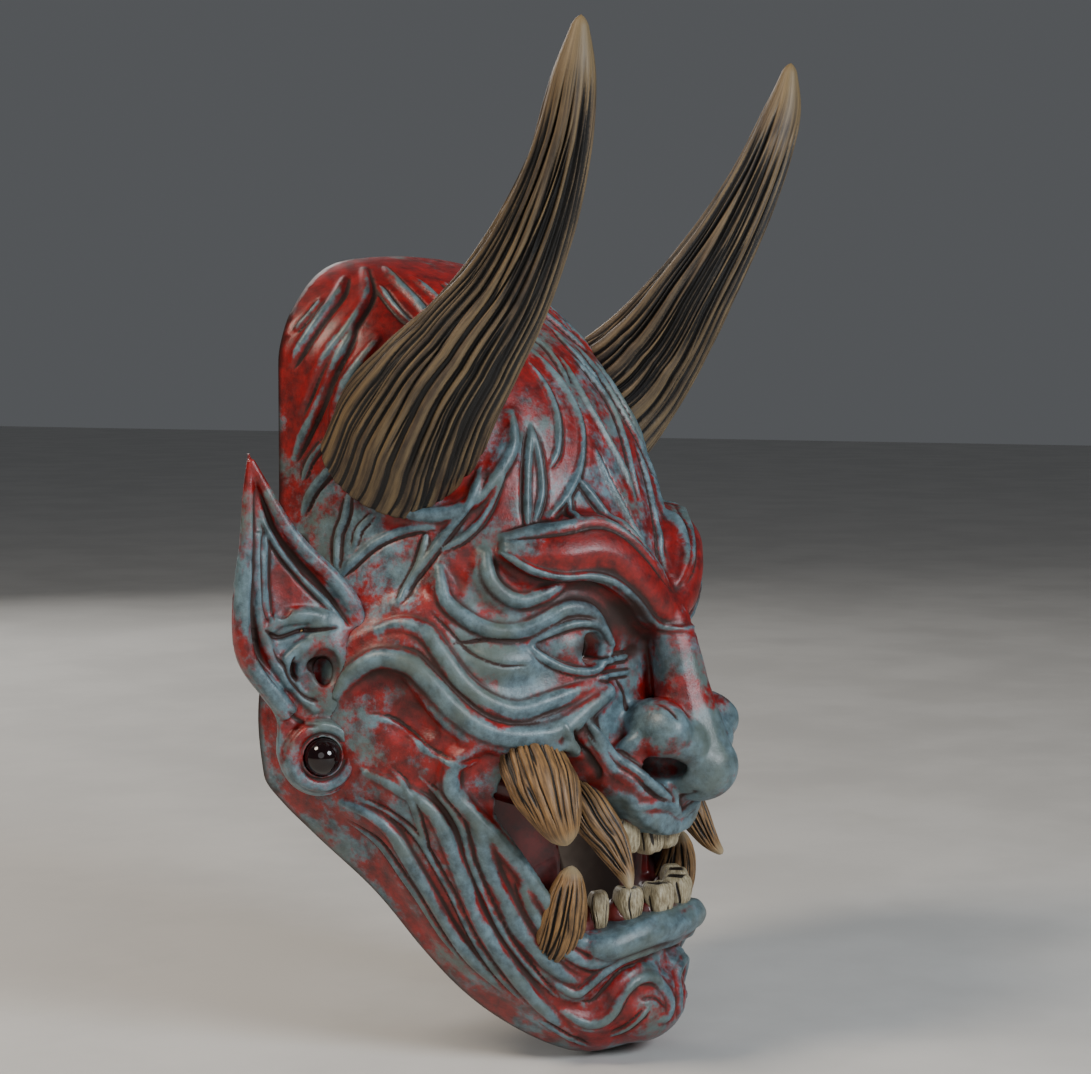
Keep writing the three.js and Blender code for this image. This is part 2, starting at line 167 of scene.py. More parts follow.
def largestBody(piece):  # drops specks that cutting left loose
    bm = bmesh.new()
    bm.from_mesh(piece.data)
    left, main = set(bm.verts), set()
    while left:
        ahead = [left.pop()]
        reached = set(ahead)
        while ahead:
            vert = ahead.pop()
            beside = {edge.other_vert(vert) for edge in vert.link_edges} & left
            left -= beside
            reached |= beside
            ahead += beside
        main = max(main, reached, key=len)
    bmesh.ops.delete(bm, geom=[vert for vert in bm.verts if vert not in main], context="VERTS")
    bm.to_mesh(piece.data)
    bm.free()


def setAttribute(mesh, name, values):
    layer = mesh.attributes.get(name) or mesh.attributes.new(name, "FLOAT", "POINT")
    layer.data.foreach_set("value", np.ascontiguousarray(values, np.float32))


def newPiece(name, bm=None, mesh=None):
    mesh = mesh or bpy.data.meshes.new(name)
    if bm:
        bm.to_mesh(mesh)
        bm.free()
    piece = bpy.data.objects.new(name, mesh)
    mesh.name = name
    bpy.context.scene.collection.objects.link(piece)
    return piece


def addModifier(piece, kind, **settings):
    modifier = piece.modifiers.new(kind.title(), kind)
    for key, value in settings.items():
        setattr(modifier, key, value)
    return modifier


def bake(piece):  # turns the modifiers or the curve into a plain mesh
    mesh = bpy.data.meshes.new_from_object(piece.evaluated_get(bpy.context.evaluated_depsgraph_get()))
    name = piece.name
    bpy.data.objects.remove(piece)
    return newPiece(name, mesh=mesh)


def joined(name, parts):
    bm = bmesh.new()
    for part in parts:
        bm.from_mesh(part.data)
        bpy.data.objects.remove(part)
    return newPiece(name, bm)


def cutBy(piece, cutter):
    addModifier(piece, "BOOLEAN", operation="DIFFERENCE", object=cutter, solver="MANIFOLD")
    piece = bake(piece)
    bpy.data.objects.remove(cutter)
    return piece


def clayStrips(strips, mirror=True):  # round strips of clay, each a list of points with radii
    curve = bpy.data.curves.new("strips", "CURVE")
    curve.dimensions = "3D"
    curve.bevel_depth = 1
    curve.bevel_resolution = 3
    curve.use_fill_caps = True
    for points, radii in strips:
        count = max(10, 4 * len(points))
        path = smoothPath(points, count)
        radius = np.interp(np.linspace(0, 1, count), np.linspace(0, 1, len(radii)), radii)
        for side in ((1, -1) if mirror else (1,)):
            spline = curve.splines.new("POLY")
            spline.points.add(count - 1)
            row = np.c_[path * [side, 1, 1], np.ones(count)]
            spline.points.foreach_set("co", row.ravel())
            spline.points.foreach_set("radius", radius)
    return bake(newCurveObject("strips", curve))


def newCurveObject(name, curve):
    piece = bpy.data.objects.new(name, curve)
    bpy.context.scene.collection.objects.link(piece)
    return piece


def faceStrip(points, radii, lift, broad=1.45):  # a strip sunk in the face, so that its top stands radius + lift proud
    rows = [tuple(p) + (0,) * (3 - len(p)) for p in points]
    thick = np.interp(np.linspace(0, 1, len(rows)), np.linspace(0, 1, len(radii)), radii)
    return ([onFace(a, h, lift + more - (broad - 0.95) * r) for (a, h, more), r in zip(rows, thick)],
            [broad * r for r in radii])


def flankStrip(points, radii, lift, side, mmPerDegree=1.5):  # a wider and lower strip along one side of a fold
    path = smoothPath([p[:2] for p in points], 3 * len(points))
    step = np.gradient(path, axis=0) * [mmPerDegree, 1]
    across = np.c_[-step[:, 1], step[:, 0]] / np.linalg.norm(step, axis=1)[:, None] * side
    thick = np.interp(np.linspace(0, 1, len(path)), np.linspace(0, 1, len(radii)), radii)
    path = path + across * (1.5 * thick)[:, None] / [mmPerDegree, 1]
    return [onFace(a, h, lift - 1.8 * r) for (a, h), r in zip(path, thick)], list(2.1 * thick)


def clayBalls(balls, mirror=True):  # centre, half sizes and a turn in degrees about the upright axis
    bm = bmesh.new()
    for centre, size, turn in balls:
        for side in ((1, -1) if mirror and abs(centre[0]) > 0.01 else (1,)):
            place = Matrix.Translation((side * centre[0], centre[1], centre[2]))
            place = place @ Matrix.Rotation(math.radians(side * turn), 4, "Z") @ Matrix.Diagonal((*size, 1))
            bmesh.ops.create_uvsphere(bm, u_segments=28, v_segments=18, radius=1, matrix=place)
    return newPiece("balls", bm)


def rod(start, end, radius, sides=32):
    a, b = Vector(start), Vector(end)
    turn = (b - a).to_track_quat("Z", "Y").to_matrix().to_4x4()
    bm = bmesh.new()
    bmesh.ops.create_cone(bm, cap_ends=True, segments=sides, radius1=radius, radius2=radius, depth=(b - a).length,
                          matrix=Matrix.Translation((a + b) / 2) @ turn)
    return newPiece("rod", bm)


def strokeField(base, spots, strokes, toBase):  # how strokes raise or cut the surface at each base point
    rise, cut, crest = np.zeros(len(base)), np.zeros(len(base)), np.zeros(len(base))
    for points, width, height, depth, lean in strokes:
        path = smoothPath(points, 7 * len(points))
        line = toBase(path)
        reach = width * 4.5
        near = np.nonzero(np.all((base > line.min(0) - reach) & (base < line.max(0) + reach), axis=1))[0]
        if not len(near):
            continue
        spot, flat = base[near], spots[near]
        best, at, side = np.full(len(near), 1e9), np.zeros(len(near)), np.zeros(len(near))
        for i in range(len(line) - 1):
            a, step = line[i], line[i + 1] - line[i]
            t = np.clip((spot - a) @ step / max(step @ step, 1e-9), 0, 1)
            away = np.linalg.norm(spot - a - t[:, None] * step, axis=1)
            closer = away < best
            best[closer], at[closer] = away[closer], ((i + t) / (len(line) - 1))[closer]
            run = path[i + 1] - path[i]
            turn = run[0] * (flat[:, 1] - path[i, 1]) - run[1] * (flat[:, 0] - path[i, 0])
            side[closer] = np.sign(turn)[closer]
        taper = np.sqrt(np.clip(np.minimum(at, 1 - at) / 0.18, 0, 1))
        w = width * (0.4 + 0.6 * taper)
        q = best / w
        open = side * lean > 0  # the side the fold slopes off to, without a groove
        soft = np.where(open, q / (1 + abs(lean)), q)
        up = np.exp(-1.4 * soft ** 2) * taper
        groove = np.exp(-((q - 1.4) / 0.45) ** 2) * taper * np.where(open, max(0, 1 - abs(lean)), 1)
        if height <= 0:
            groove = np.exp(-2 * q ** 2) * taper
        rise[near] = np.maximum(rise[near], up * height)
        crest[near] = np.maximum(crest[near], up * (height > 0))
        cut[near] = np.maximum(cut[near], groove * depth)
    return rise - cut * np.clip(1 - rise / 0.8, 0, 1), crest, cut * np.clip(1 - crest, 0, 1)


# ---- face shell

def faceBlock(grow, low, high, back, across, up):  # the head form as a closed solid
    bm = bmesh.new()
    bmesh.ops.create_grid(bm, x_segments=across, y_segments=up, size=1)
    for v in bm.verts:
        even = (v.co.y + 1) / 2
        share = 0.6 * even + 0.4 * (0.5 - 0.5 * math.cos(math.pi * even))
        level = faceHeight * min(max(share, 0), 1)
        x, y, z = onFace(v.co.x * 90 or 1e-6, level, max(grow, 2 - float(halfWidth(level))))
        ended = share < 1e-6 or share > 1 - 1e-6
        v.co = (0.0 if ended else -x, -float(rimDepth(level)) - rimLip if ended else y, low + (high - low) * share)
    rim = bmesh.ops.extrude_edge_only(bm, edges=[e for e in bm.edges if e.is_boundary])["geom"]
    for v in [g for g in rim if isinstance(g, bmesh.types.BMVert)]:
        v.co.y = back
    bmesh.ops.holes_fill(bm, edges=[e for e in bm.edges if e.is_boundary], sides=0)
    bmesh.ops.remove_doubles(bm, verts=bm.verts, dist=1e-4)
    bmesh.ops.triangulate(bm, faces=[f for f in bm.faces if len(f.verts) > 4])
    bmesh.ops.recalc_face_normals(bm, faces=bm.faces)
    return newPiece("headBlock", bm)


say("face clay")
faceStrips = [
    # brow, from temple to the middle
    ([(45, 179), (38, 176.5), (31, 176), (24, 177), (18, 174.5), (12, 167), (7, 160), (2, 156), (-4, 155)],
     [2, 5.6, 7.6, 8.2, 8.4, 8.2, 7.6, 7, 6.4], 2.4, 1.6),
    ([(46, 177.5), (40, 171.5), (34, 169), (27, 169), (21, 166.5), (15, 160), (9.5, 153), (4, 149.5), (-3, 149.5)],
     [1, 1.6, 2, 2.1, 2.1, 2.1, 2, 1.9, 1.6], 6.2, 1.0),
    # upper lid folds
    ([(58, 173), (57, 162), (53, 156), (47, 151.5), (41, 151), (36, 154), (31, 158), (25, 157), (20, 151), (17, 145)],
     [1.5, 3.4, 3.8, 3.8, 3.6, 3.4, 3.4, 3.2, 2.6, 1.8], 0.2),
    ([(48, 178), (48, 169), (45, 163), (41, 161), (36, 163), (31, 166)], [2, 3.6, 3.8, 3.6, 3, 2], 0.2),
    # eyelids round the opening
    ([(38, 147), (33, 151), (27, 153), (21, 151), (16, 144)], [1.2, 2, 2.4, 2.2, 1.4], 1.4, 1.1),
    ([(38, 146), (33, 140.5), (27, 137), (21, 137), (16, 142)], [1.2, 2, 2.2, 2, 1.4], 1.2, 1.1),
    # upper cheek ridge
    ([(70, 151), (65, 153.5), (60, 151), (56, 144), (51, 134), (46, 128), (40, 125), (34, 127), (27, 130), (20, 133)],
     [1.6, 3.2, 3.8, 4.2, 4.4, 4.4, 4, 3.6, 3, 1.8], 1),
    # lower cheek ridge, running into the nose wing
    ([(76, 128), (73, 136), (68, 142), (62, 140.5), (58, 135), (54, 128), (49, 121), (43, 117), (36, 116.5), (29, 119),
      (23, 125), (16, 130)], [1.4, 3.2, 4, 4.2, 4.6, 5, 5.2, 5, 4.6, 4.2, 3.8, 2.6], 2),
    # upper lip roll
    ([(47, 115), (40, 116.5), (34, 113), (31, 107), (27, 100), (22, 93), (17, 87.5), (11, 84), (5, 81.5), (-3, 81)],
     [2.4, 3.6, 4, 4, 4.6, 5.6, 6.6, 7.4, 8.2, 8.4], 2.2),
    # lower lip roll
    ([(37, 42), (31, 42.5), (25, 44), (18, 45.5), (11, 46.5), (5, 46.5), (-3, 46.5)],
     [3.4, 4.8, 5.6, 6, 6.4, 6.6, 6.6], 4),
    # mouth rim up to the corner
    ([(36, 42), (42, 49), (45, 60), (48, 74), (51, 86), (54, 97), (53, 107), (48, 113.5)],
     [3.4, 3.6, 3.8, 4, 4, 3.8, 3.4, 2.6], 1.4),
    # muzzle folds beside the lip
    ([(31, 118), (29, 110), (26, 102), (21, 95)], [1.4, 3, 3.4, 1.6], 3),
    ([(24, 122), (22, 112), (19, 104), (14, 96)], [1.6, 3.4, 3.8, 2], 3),
    # edge of the upper lip, over its darker underside
    ([(31, 105, -2.5), (27.5, 98, -0.5), (24.5, 91.5), (19.5, 88.5), (13, 90), (7, 89), (1, 84.5), (-4, 84)],
     [1.6, 2.5, 2.7, 2.7, 2.5, 2.4, 2.2, 2], 7.6, 1.1),
    # jaw folds
    ([(78, 93), (73, 88), (72, 80), (75, 63), (76.5, 50), (76, 38), (73, 26)], [1.2, 3.2, 3.6, 3.6, 3.6, 3, 1.2], 0.4),
    ([(71, 104), (66, 100), (61, 94), (60, 86), (63, 69), (66, 56), (66, 43), (64, 26), (61, 10)],
     [1.2, 3, 3.8, 4.2, 4.2, 4, 3.6, 3, 1.2], 0.6),
    ([(52, 101), (52, 90), (54, 78), (56, 64), (56, 50), (53, 40), (48, 33), (42, 30)],
     [1.2, 3.4, 3.8, 4, 4, 3.6, 3, 1.4], 0.6),
    ([(49, 70), (50, 58), (48, 48), (43, 40), (36, 36), (29, 37)], [1.2, 2.8, 3.2, 3.2, 2.8, 1.2], 1),
    # chin folds and swirl
    ([(53, 30), (47, 26), (41, 28.5), (33, 33), (24, 37), (15, 38.5), (7, 38)], [1.2, 2.2, 2.4, 2.4, 2.4, 2.2, 1.2], 0.6),
    ([(57, 20), (50, 15.5), (42, 15.5), (34, 19), (26, 26), (18, 29.5), (9, 28), (4, 21), (5, 14), (13, 14)],
     [1, 2.4, 2.8, 3, 3.2, 3.4, 3.2, 2.6, 2, 1.2], 1.2),
    # horn collar, open at the lower back
    ([(60, 249), (67, 241), (74, 231), (77, 219), (75, 206), (70, 196), (62, 189.5), (53, 191), (45, 199), (37, 211),
      (33, 224)], [1.6, 2.8, 3.2, 3.4, 3.4, 3.4, 3.2, 3.2, 3.2, 3, 1.4], 0.4),
]
faceRecesses = [  # hollows cut before any clay goes on: angle, height, lift, half sizes and turn
    (31, 155, 7, (19, 11, 8), -30), (61, 122, 7, (15, 11, 12), -60), (12, 36, 6, (26, 8, 5), -8),
    (58, 168, 8, (14, 10, 10), -55), (8, 141, 8, (10, 10, 6), -6)]
foldFlanks = {6: -1, 7: -1, 14: 1, 15: 1, 16: 1, 17: 1}  # strip number, and the side it slopes off to
clay = [clayStrips([faceStrip(*strip) for strip in faceStrips])]
clay.append(clayStrips([flankStrip(*faceStrips[i][:3], side) for i, side in foldFlanks.items()]))
clay.append(clayStrips([([(0, -100, 163), (0, -111, 150), (0, -115, 138), (0, -117.5, 126), (0, -121, 114), (0, -124, 104)],
                         [8, 8.6, 9, 10, 11.5, 12])], mirror=False))  # nose bridge
clay.append(clayStrips([([(-25, -103, 104), (-23, -111, 111.5), (-16, -119, 113), (-8.5, -127, 109), (-4, -131, 101)],
                         [2.6, 4, 4.4, 4.2, 3])]))  # rim over the nostril
clay.append(clayBalls([
    ((0, -123.5, 102), (12.5, 14.5, 12.5), 0),  # nose bulb
    ((-14.8, -115, 115.5), (9.6, 15.5, 10.8), -26),  # nose wing
    ((-9.5, -120.5, 110.5), (10, 11, 9.5), -20),  # inner part of the wing
    ((-18, -108, 98), (13, 9.5, 15), -30),  # muzzle under the wing
    ((-8, -110, 90), (13, 10, 10), -10),  # middle of the upper lip
    (tuple(onFace(26, 145, -7.5)), (14, 11, 9), -22),  # eyeball
    (tuple(onFace(42, 140, -8.5)), (20, 13.5, 10), -45),  # plump cheek under the eye
    (tuple(onFace(24, 176, -5)), (22, 9, 8), -22),  # mass of the brow
    (tuple(onFace(31, 108, -6)), (12, 10, 14), -30),  # muzzle beside the tusks
    ((0, -101, 18), (22, 15, 15), 0),  # chin
    (tuple(onFace(14, 176, -6)), (20, 9, 10), -10),  # forehead above the brow
]))
body = faceBlock(0, 0, faceHeight, 14, 96, 150)
body = cutBy(body, clayBalls([(tuple(onFace(a, h, lift)), size, turn) for a, h, lift, size, turn in faceRecesses]))
body = joined("faceShell", [body] + clay)


def mouthCutter():  # the mouth opening, drawn from the front and cut straight back
    outline = [(0, 77), (10, 78.5), (19, 84), (27, 92), (33, 101), (38, 108.5), (46, 111), (53, 107.5), (57.5, 100),
               (57, 90), (53, 79), (48, 67), (43, 57), (38, 50), (33, 47), (25, 49.5), (15, 52), (0, 52.5)]
    half = smoothPath(outline, 60)
    bm = bmesh.new()
    loop = [bm.verts.new((x, -150, z)) for x, z in half] + [bm.verts.new((-x, -150, z)) for x, z in half[-2:0:-1]]
    face = bm.faces.new(loop)
    out = bmesh.ops.extrude_face_region(bm, geom=[face])["geom"]
    bmesh.ops.translate(bm, vec=(0, 115, 0), verts=[g for g in out if isinstance(g, bmesh.types.BMVert)])
    bmesh.ops.recalc_face_normals(bm, faces=bm.faces)
    return newPiece("mouthCutter", bm)


fine = 0.85
addModifier(body, "REMESH", mode="VOXEL", voxel_size=fine, adaptivity=0)
body = bake(body)
body = cutBy(body, mouthCutter())
body = cutBy(body, clayBalls([((-31, -95, 144), (4.6, 30, 5.6), -16), ((-14.5, -117, 103), (9, 9, 5.4), -30)]))
addModifier(body, "REMESH", mode="VOXEL", voxel_size=fine, adaptivity=0)
addModifier(body, "SMOOTH", factor=0.5, iterations=12)
body = bake(body)
say(f"face body {len(body.data.vertices)} points")

# fine strokes: points, half width, rise, groove depth, and which side slopes away
faceStrokes = [
    # temple
    ([(58, 185), (64, 184), (71, 179), (78, 168)], 1.7, 1.7, 1.2, 0.6),
    ([(60, 183), (62, 173), (66, 160)], 1.7, 1.7, 1.2, 0),
    ([(45, 206), (51, 192), (57, 181), (62, 171), (66, 162)], 1.8, 1.9, 1.3, 0.5),
    ([(40, 206), (46, 191), (52, 182), (58, 177)], 1.6, 1.6, 1.2, 0.4),
    ([(76, 196), (77, 188), (78.5, 181), (78.5, 170)], 1.8, 1.8, 1.3, 0),
    ([(75, 210), (80, 203), (84, 196), (86, 188)], 1.8, 1.9, 1.3, 0.5),
    ([(71, 189), (74, 184), (75, 178)], 1.4, 1.4, 1, 0),
    ([(80, 214), (84, 207), (86, 200)], 1.5, 1.5, 1.1, 0),
    # skull
    ([(74, 269.5), (75, 263), (79, 256), (84, 247), (88, 238)], 2.4, 2.2, 1.6, 0.7),
    ([(65, 273), (62.5, 266), (64, 260), (70, 251), (77, 242), (82, 233), (86, 222)], 2.5, 2.4, 1.7, 0.8),
    ([(67, 253), (71, 246), (77, 236), (81, 226), (85, 216), (88, 206)], 2.3, 2.2, 1.6, 0.7),
    ([(81, 262), (84, 256), (88, 250)], 1.8, 1.7, 1.3, 0),
    ([(52, 273), (48, 267), (43, 259), (40, 250)], 2.2, 2.1, 1.5, 0.6),
    ([(57, 266), (53, 259), (48, 252)], 1.8, 1.8, 1.3, 0),
    ([(40, 270), (36, 264), (32, 254), (30, 243)], 2, 1.9, 1.4, 0.5),
    ([(26, 268), (24, 260), (24, 250)], 1.8, 1.7, 1.3, 0),
    ([(12, 268), (13, 259), (16, 250), (18, 243)], 1.9, 1.8, 1.4, 0.4),
    # forehead leaves
    ([(18, 240), (18, 230), (20, 220), (24, 210), (28, 204)], 1.7, 1.8, 1.4, 0.5),
    ([(13, 246), (11, 232), (12, 221), (15, 212), (20, 202), (27, 193), (33, 187)], 1.8, 2, 1.5, 0.6),
    ([(29, 219), (33, 208), (36, 196), (38, 184)], 1.7, 1.8, 1.4, -0.5),
    ([(29, 219), (30, 207), (32, 196), (36, 186)], 1.6, 1.7, 1.3, 0.4),
    ([(3, 242), (5.5, 228), (4, 214), (1.5, 202), (1, 192)], 1.7, 1.9, 1.5, 0.5),
    ([(21, 202), (16, 190), (11, 178), (6, 169), (1.5, 163)], 1.9, 2, 1.6, -0.6),
    ([(11, 211), (10, 200), (7, 188), (4, 176), (1.5, 166)], 1.7, 1.8, 1.4, 0.5),
    ([(24, 199), (26, 190), (30, 184)], 1.5, 1.5, 1.2, 0),
    ([(8, 252), (6, 244), (8, 232)], 1.5, 1.5, 1.2, 0),
    # upper edge of the brow
    ([(45, 182), (38, 184), (31, 185.5), (24, 187), (18, 184.5), (12, 176), (7, 168), (3, 163)], 1.8, 1.7, 1.6, -0.4),
    # nose root and crow's feet
    ([(21, 139), (16, 139.5), (9, 140)], 1.5, 1.6, 1.5, 0),
    ([(21, 134), (16, 134.2), (9, 134.5)], 1.4, 1.4, 1.4, 0),
    ([(55, 147), (48, 148), (40, 148)], 1, 0, 1.3, 0),
    ([(60, 158), (55, 151), (50, 144), (44, 140), (38, 140)], 1.1, 0, 1.2, 0),
    ([(66, 147), (61, 145), (57, 139), (52, 131), (46, 123.5), (40, 121), (33, 121.5)], 1.2, 0, 1.6, 0),
    # nose side and muzzle
    ([(31, 121), (28.5, 114), (25, 105), (22, 97.5)], 2.4, 2.2, 2, 0.4),
    ([(25, 121), (20.5, 112), (15.5, 102.5), (11, 96), (6, 91)], 2.2, 2, 2.2, -0.4),
    ([(14, 133), (11, 127), (11, 120)], 1.2, 0, 1.3, 0),
    ([(20, 121), (18, 112), (14, 103), (9, 96)], 1.2, 0, 1.6, 0),
    ([(6, 95), (5, 90), (5, 86)], 1.4, 1.2, 1, 0),
    # jaw lines between the folds
    ([(74, 95), (69, 89), (67, 80), (69, 64), (71, 48), (71, 34), (68, 21)], 1.3, 1, 1.2, 0.3),
    ([(80, 86), (77, 78), (79, 64), (80, 50), (80, 38)], 1.4, 1.2, 1.2, 0.3),
    ([(60, 103), (57, 96), (56, 86), (59, 72), (61, 58), (61, 46), (58, 33), (54, 24)], 1.3, 1.1, 1.2, 0.3),
    ([(69, 123), (65, 121), (61, 116.5), (57, 110.5), (52, 107), (47, 108.5)], 1.5, 0.9, 1, 0.7),
    ([(66, 106), (63, 99), (64, 88), (68, 74)], 1.4, 0.9, 0.9, 0.4),
    ([(70, 16), (66, 9), (60, 5)], 1.4, 1.2, 1.1, 0),
    # chin
    ([(46, 23), (40, 23), (32, 28), (24, 33), (15, 34), (7, 33)], 1.1, 0, 1.4, 0),
    ([(20, 22), (13, 22), (8, 18)], 1.1, 0, 1.2, 0),
    ([(40, 9), (32, 11), (24, 15), (17, 19)], 1.4, 1.2, 1.1, 0),
    # lips
    ([(30, 46), (24, 45), (16, 46.5), (8, 47.5)], 0.8, 0, 0.6, 0),
    *[([(a + 1.5, 85), (a + 0.6, 81), (a, 77.5)], 0.6, 0, 0.55, 0) for a in np.arange(2, 23, 1.7)],
]
faceStrokes = [(points, 0.72 * width, 0.8 * rise, 0.95 * depth, lean) for points, width, rise, depth, lean in faceStrokes]
for points, radii, lift, *more in faceStrips:
    faceStrokes.append(([p[:2] for p in points], 0.75 * sum(radii) / len(radii), 0.8, 0.7, 0))


def softSpots(base, spots):  # adds up soft round patches, each with a middle, a reach and a strength
    total = np.zeros(len(base))
    for middle, reach, strength in spots:
        away = np.linalg.norm(base - middle, axis=1) / reach
        total += strength * np.exp(-away ** 2)
    return total


def carve(piece, strokes, toBase, spots, facing, patches, shadows=()):  # fine relief, and what the colours need to know
    mesh = piece.data
    co, normals = readCo(mesh), readNormals(mesh)
    base = toBase(spots)
    push, crest, cut = strokeField(base, spots, strokes, toBase)
    outward = np.clip((normals * facing).sum(1) * 1.6, 0, 1) ** 0.5
    edges = readEdges(mesh)
    co = relaxed(co + normals * (push * outward)[:, None], edges, 1, 0.35)
    writeCo(mesh, co)
    normals = readNormals(mesh)
    near = relaxed(co, edges, 8)
    wide = relaxed(near, edges, 60)
    hollow = ((near - co) * normals).sum(1)  # in mm, over about 3 mm
    sunk = ((wide - co) * normals).sum(1)  # in mm, over about 8 mm
    setAttribute(mesh, "patina", 0.35 * crest * outward - 0.5 * hollow - 0.2 * sunk + softSpots(base, patches))
    # groove: dark lacquer in the cut lines, plus painted shade from the hollow and sunk terms and from the shadow
    # patches
    setAttribute(mesh, "groove", 0.7 * cut * outward + 1.1 * np.clip(hollow, 0, 1) + 0.3 * np.clip(sunk - 0.4, 0, 3)
                 + softSpots(base, shadows))
    setAttribute(mesh, "outside", np.ones(len(co)))


say("face strokes")
co = readCo(body.data)
spots = np.stack(faceAngle(co), -1)
facing = co - [0, -20, 130]
facing /= np.linalg.norm(facing, axis=1)[:, None]
facePatches = [(onFace(a, h), reach, strength) for a, h, reach, strength in [
    (60, 262, 34, -0.5), (82, 225, 26, -0.5), (20, 262, 26, -0.3), (37, 177, 7, -0.8), (30, 178, 7, -1),
    (23, 178, 8, -1), (15, 171, 8, -0.9), (8, 162, 8, -1), (3, 156, 7, -0.7), (12, 110, 5, -0.5), (24, 108, 6, -0.7), (18, 99, 6, -0.7), (13, 92, 5, -0.5),
    (48, 136, 18, 0.4), (62, 124, 11, -0.6), (52, 112, 8, -0.4), (34, 128, 12, 0.3), (3, 108, 20, 0.4),
    (4, 127, 8, -0.5), (15, 118, 9, 0.4), (20, 88, 10, 0.4), (45, 121, 7, -0.6), (14, 46, 16, 0.5),
    (18, 25, 9, -0.3), (40, 12, 14, -0.2), (60, 182, 10, 0.2), (72, 60, 20, -0.15), (84, 110, 16, -0.3)]]
faceShadows = [(onFace(a, h), reach, strength) for a, h, reach, strength in [  # painted shade in the deep places: eye sockets, nose root, nostril and mouth corners
    (27, 161, 8, 0.5), (16, 153, 8, 0.6), (9, 146, 6, 0.6), (6, 138, 6, 0.4), (46, 166, 5, 0.4), (52, 164, 5, 0.3),
    (64, 130, 9, 0.5), (22, 121, 6, 0.4), (36, 113, 5, 0.4), (12, 36, 7, 0.3), (58, 95, 5, 0.3), (26, 144.5, 4, 0.8), (10, 103, 5, 0.9), (15, 158, 7, 0.3)]]
carve(body, faceStrokes, lambda p: onFace(p[:, 0], p[:, 1]), spots, facing, facePatches, faceShadows)


def finished(piece, trianglesMost=195000):  # lowers a piece to the row frame, in metres
    count = sum(len(f.vertices) - 2 for f in piece.data.polygons)
    if count > trianglesMost:
        addModifier(piece, "DECIMATE", ratio=trianglesMost / count, use_collapse_triangulate=True)
        piece = bake(piece)
    piece.data.transform(Matrix.Scale(0.001, 4) @ Matrix.Translation((0, 0, -eyeLevel)))
    piece.data.polygons.foreach_set("use_smooth", [True] * len(piece.data.polygons))
    return piece


def mirroredPiece(piece, name):
    bm = bmesh.new()
    bm.from_mesh(piece.data)
    bmesh.ops.scale(bm, vec=(-1, 1, 1), verts=bm.verts)
    bmesh.ops.reverse_faces(bm, faces=bm.faces)
    return newPiece(name, bm)


def copied(piece, name):
    return newPiece(name, mesh=piece.data.copy())


def backCutter():  # everything behind the rim, which leaves the jaw further forward than the temples
    bm = bmesh.new()
    bmesh.ops.create_grid(bm, x_segments=4, y_segments=200, size=1)
    for v in bm.verts:
        z = 140 + 160 * v.co.y
        v.co = (130 * v.co.x, -float(rimDepth(z)), z)
    out = bmesh.ops.extrude_face_region(bm, geom=list(bm.faces))["geom"]
    for v in [g for g in out if isinstance(g, bmesh.types.BMVert)]:
        v.co.y = 60
    bmesh.ops.recalc_face_normals(bm, faces=bm.faces)
    return newPiece("backCutter", bm)


say("hollowing the back")
seatForm = copied(body, "seatForm")  # the uncut head, which horns and ears are fitted against
hornSeat, hornAxis, seatUp = Vector((-61, -49, 220)), Vector((-0.84, -0.5, 0.2)).normalized(), Vector((0.168, 0.1, 0.96))


def alongSeat(up, start, end, radius, sides=32):
    middle = hornSeat + seatUp * up
    return rod(middle + hornAxis * start, middle + hornAxis * end, radius, sides)


body = cutBy(body, faceBlock(-7.5, 7, 271.5, 30, 70, 90))
body = cutBy(body, backCutter())
fittings = joined("fittings", [
    alongSeat(8, -30, 18.3, 6.3), alongSeat(-9, -9, 20, 2.8), alongSeat(-9, -40, -6.7, 9),
    rod((-100, -10, 178), (-20, -10, 178), 3),
    rod((-76 - 0.766 * 16 + 0.643 * 6, -35 + 0.643 * 16 + 0.766 * 6, 148),
        (-76 - 0.766 * 16 + 0.643 * 40, -35 + 0.643 * 16 + 0.766 * 40, 148), 4.3)])
otherSide = mirroredPiece(fittings, "fittingsLeft")
body = cutBy(body, fittings)
body = cutBy(body, otherSide)
faceShell = finished(body)
faceShell.name = "faceShell"

horns = dict(
    path=[(-55, -35, 205), (-61, -46.5, 218.5), (-65, -59, 231), (-66, -72, 245), (-66, -86, 263), (-69, -100, 285),
          (-73, -111, 308), (-77, -118, 330), (-78, -121, 348)],
    radii=[25.5, 25.5, 22.5, 19, 16, 13.5, 11.5, 9.5, 7.2, 2.2], sides=420, rings=220, grooves=84, width=0.8, depth=1.6,
    round=0.8, flat=1, seed=7, tip=0.02, seatCalm=0.7)


def smoothStep(a, b, x):
    t = np.clip((x - a) / (b - a), 0, 1)
    return t * t * (3 - 2 * t)


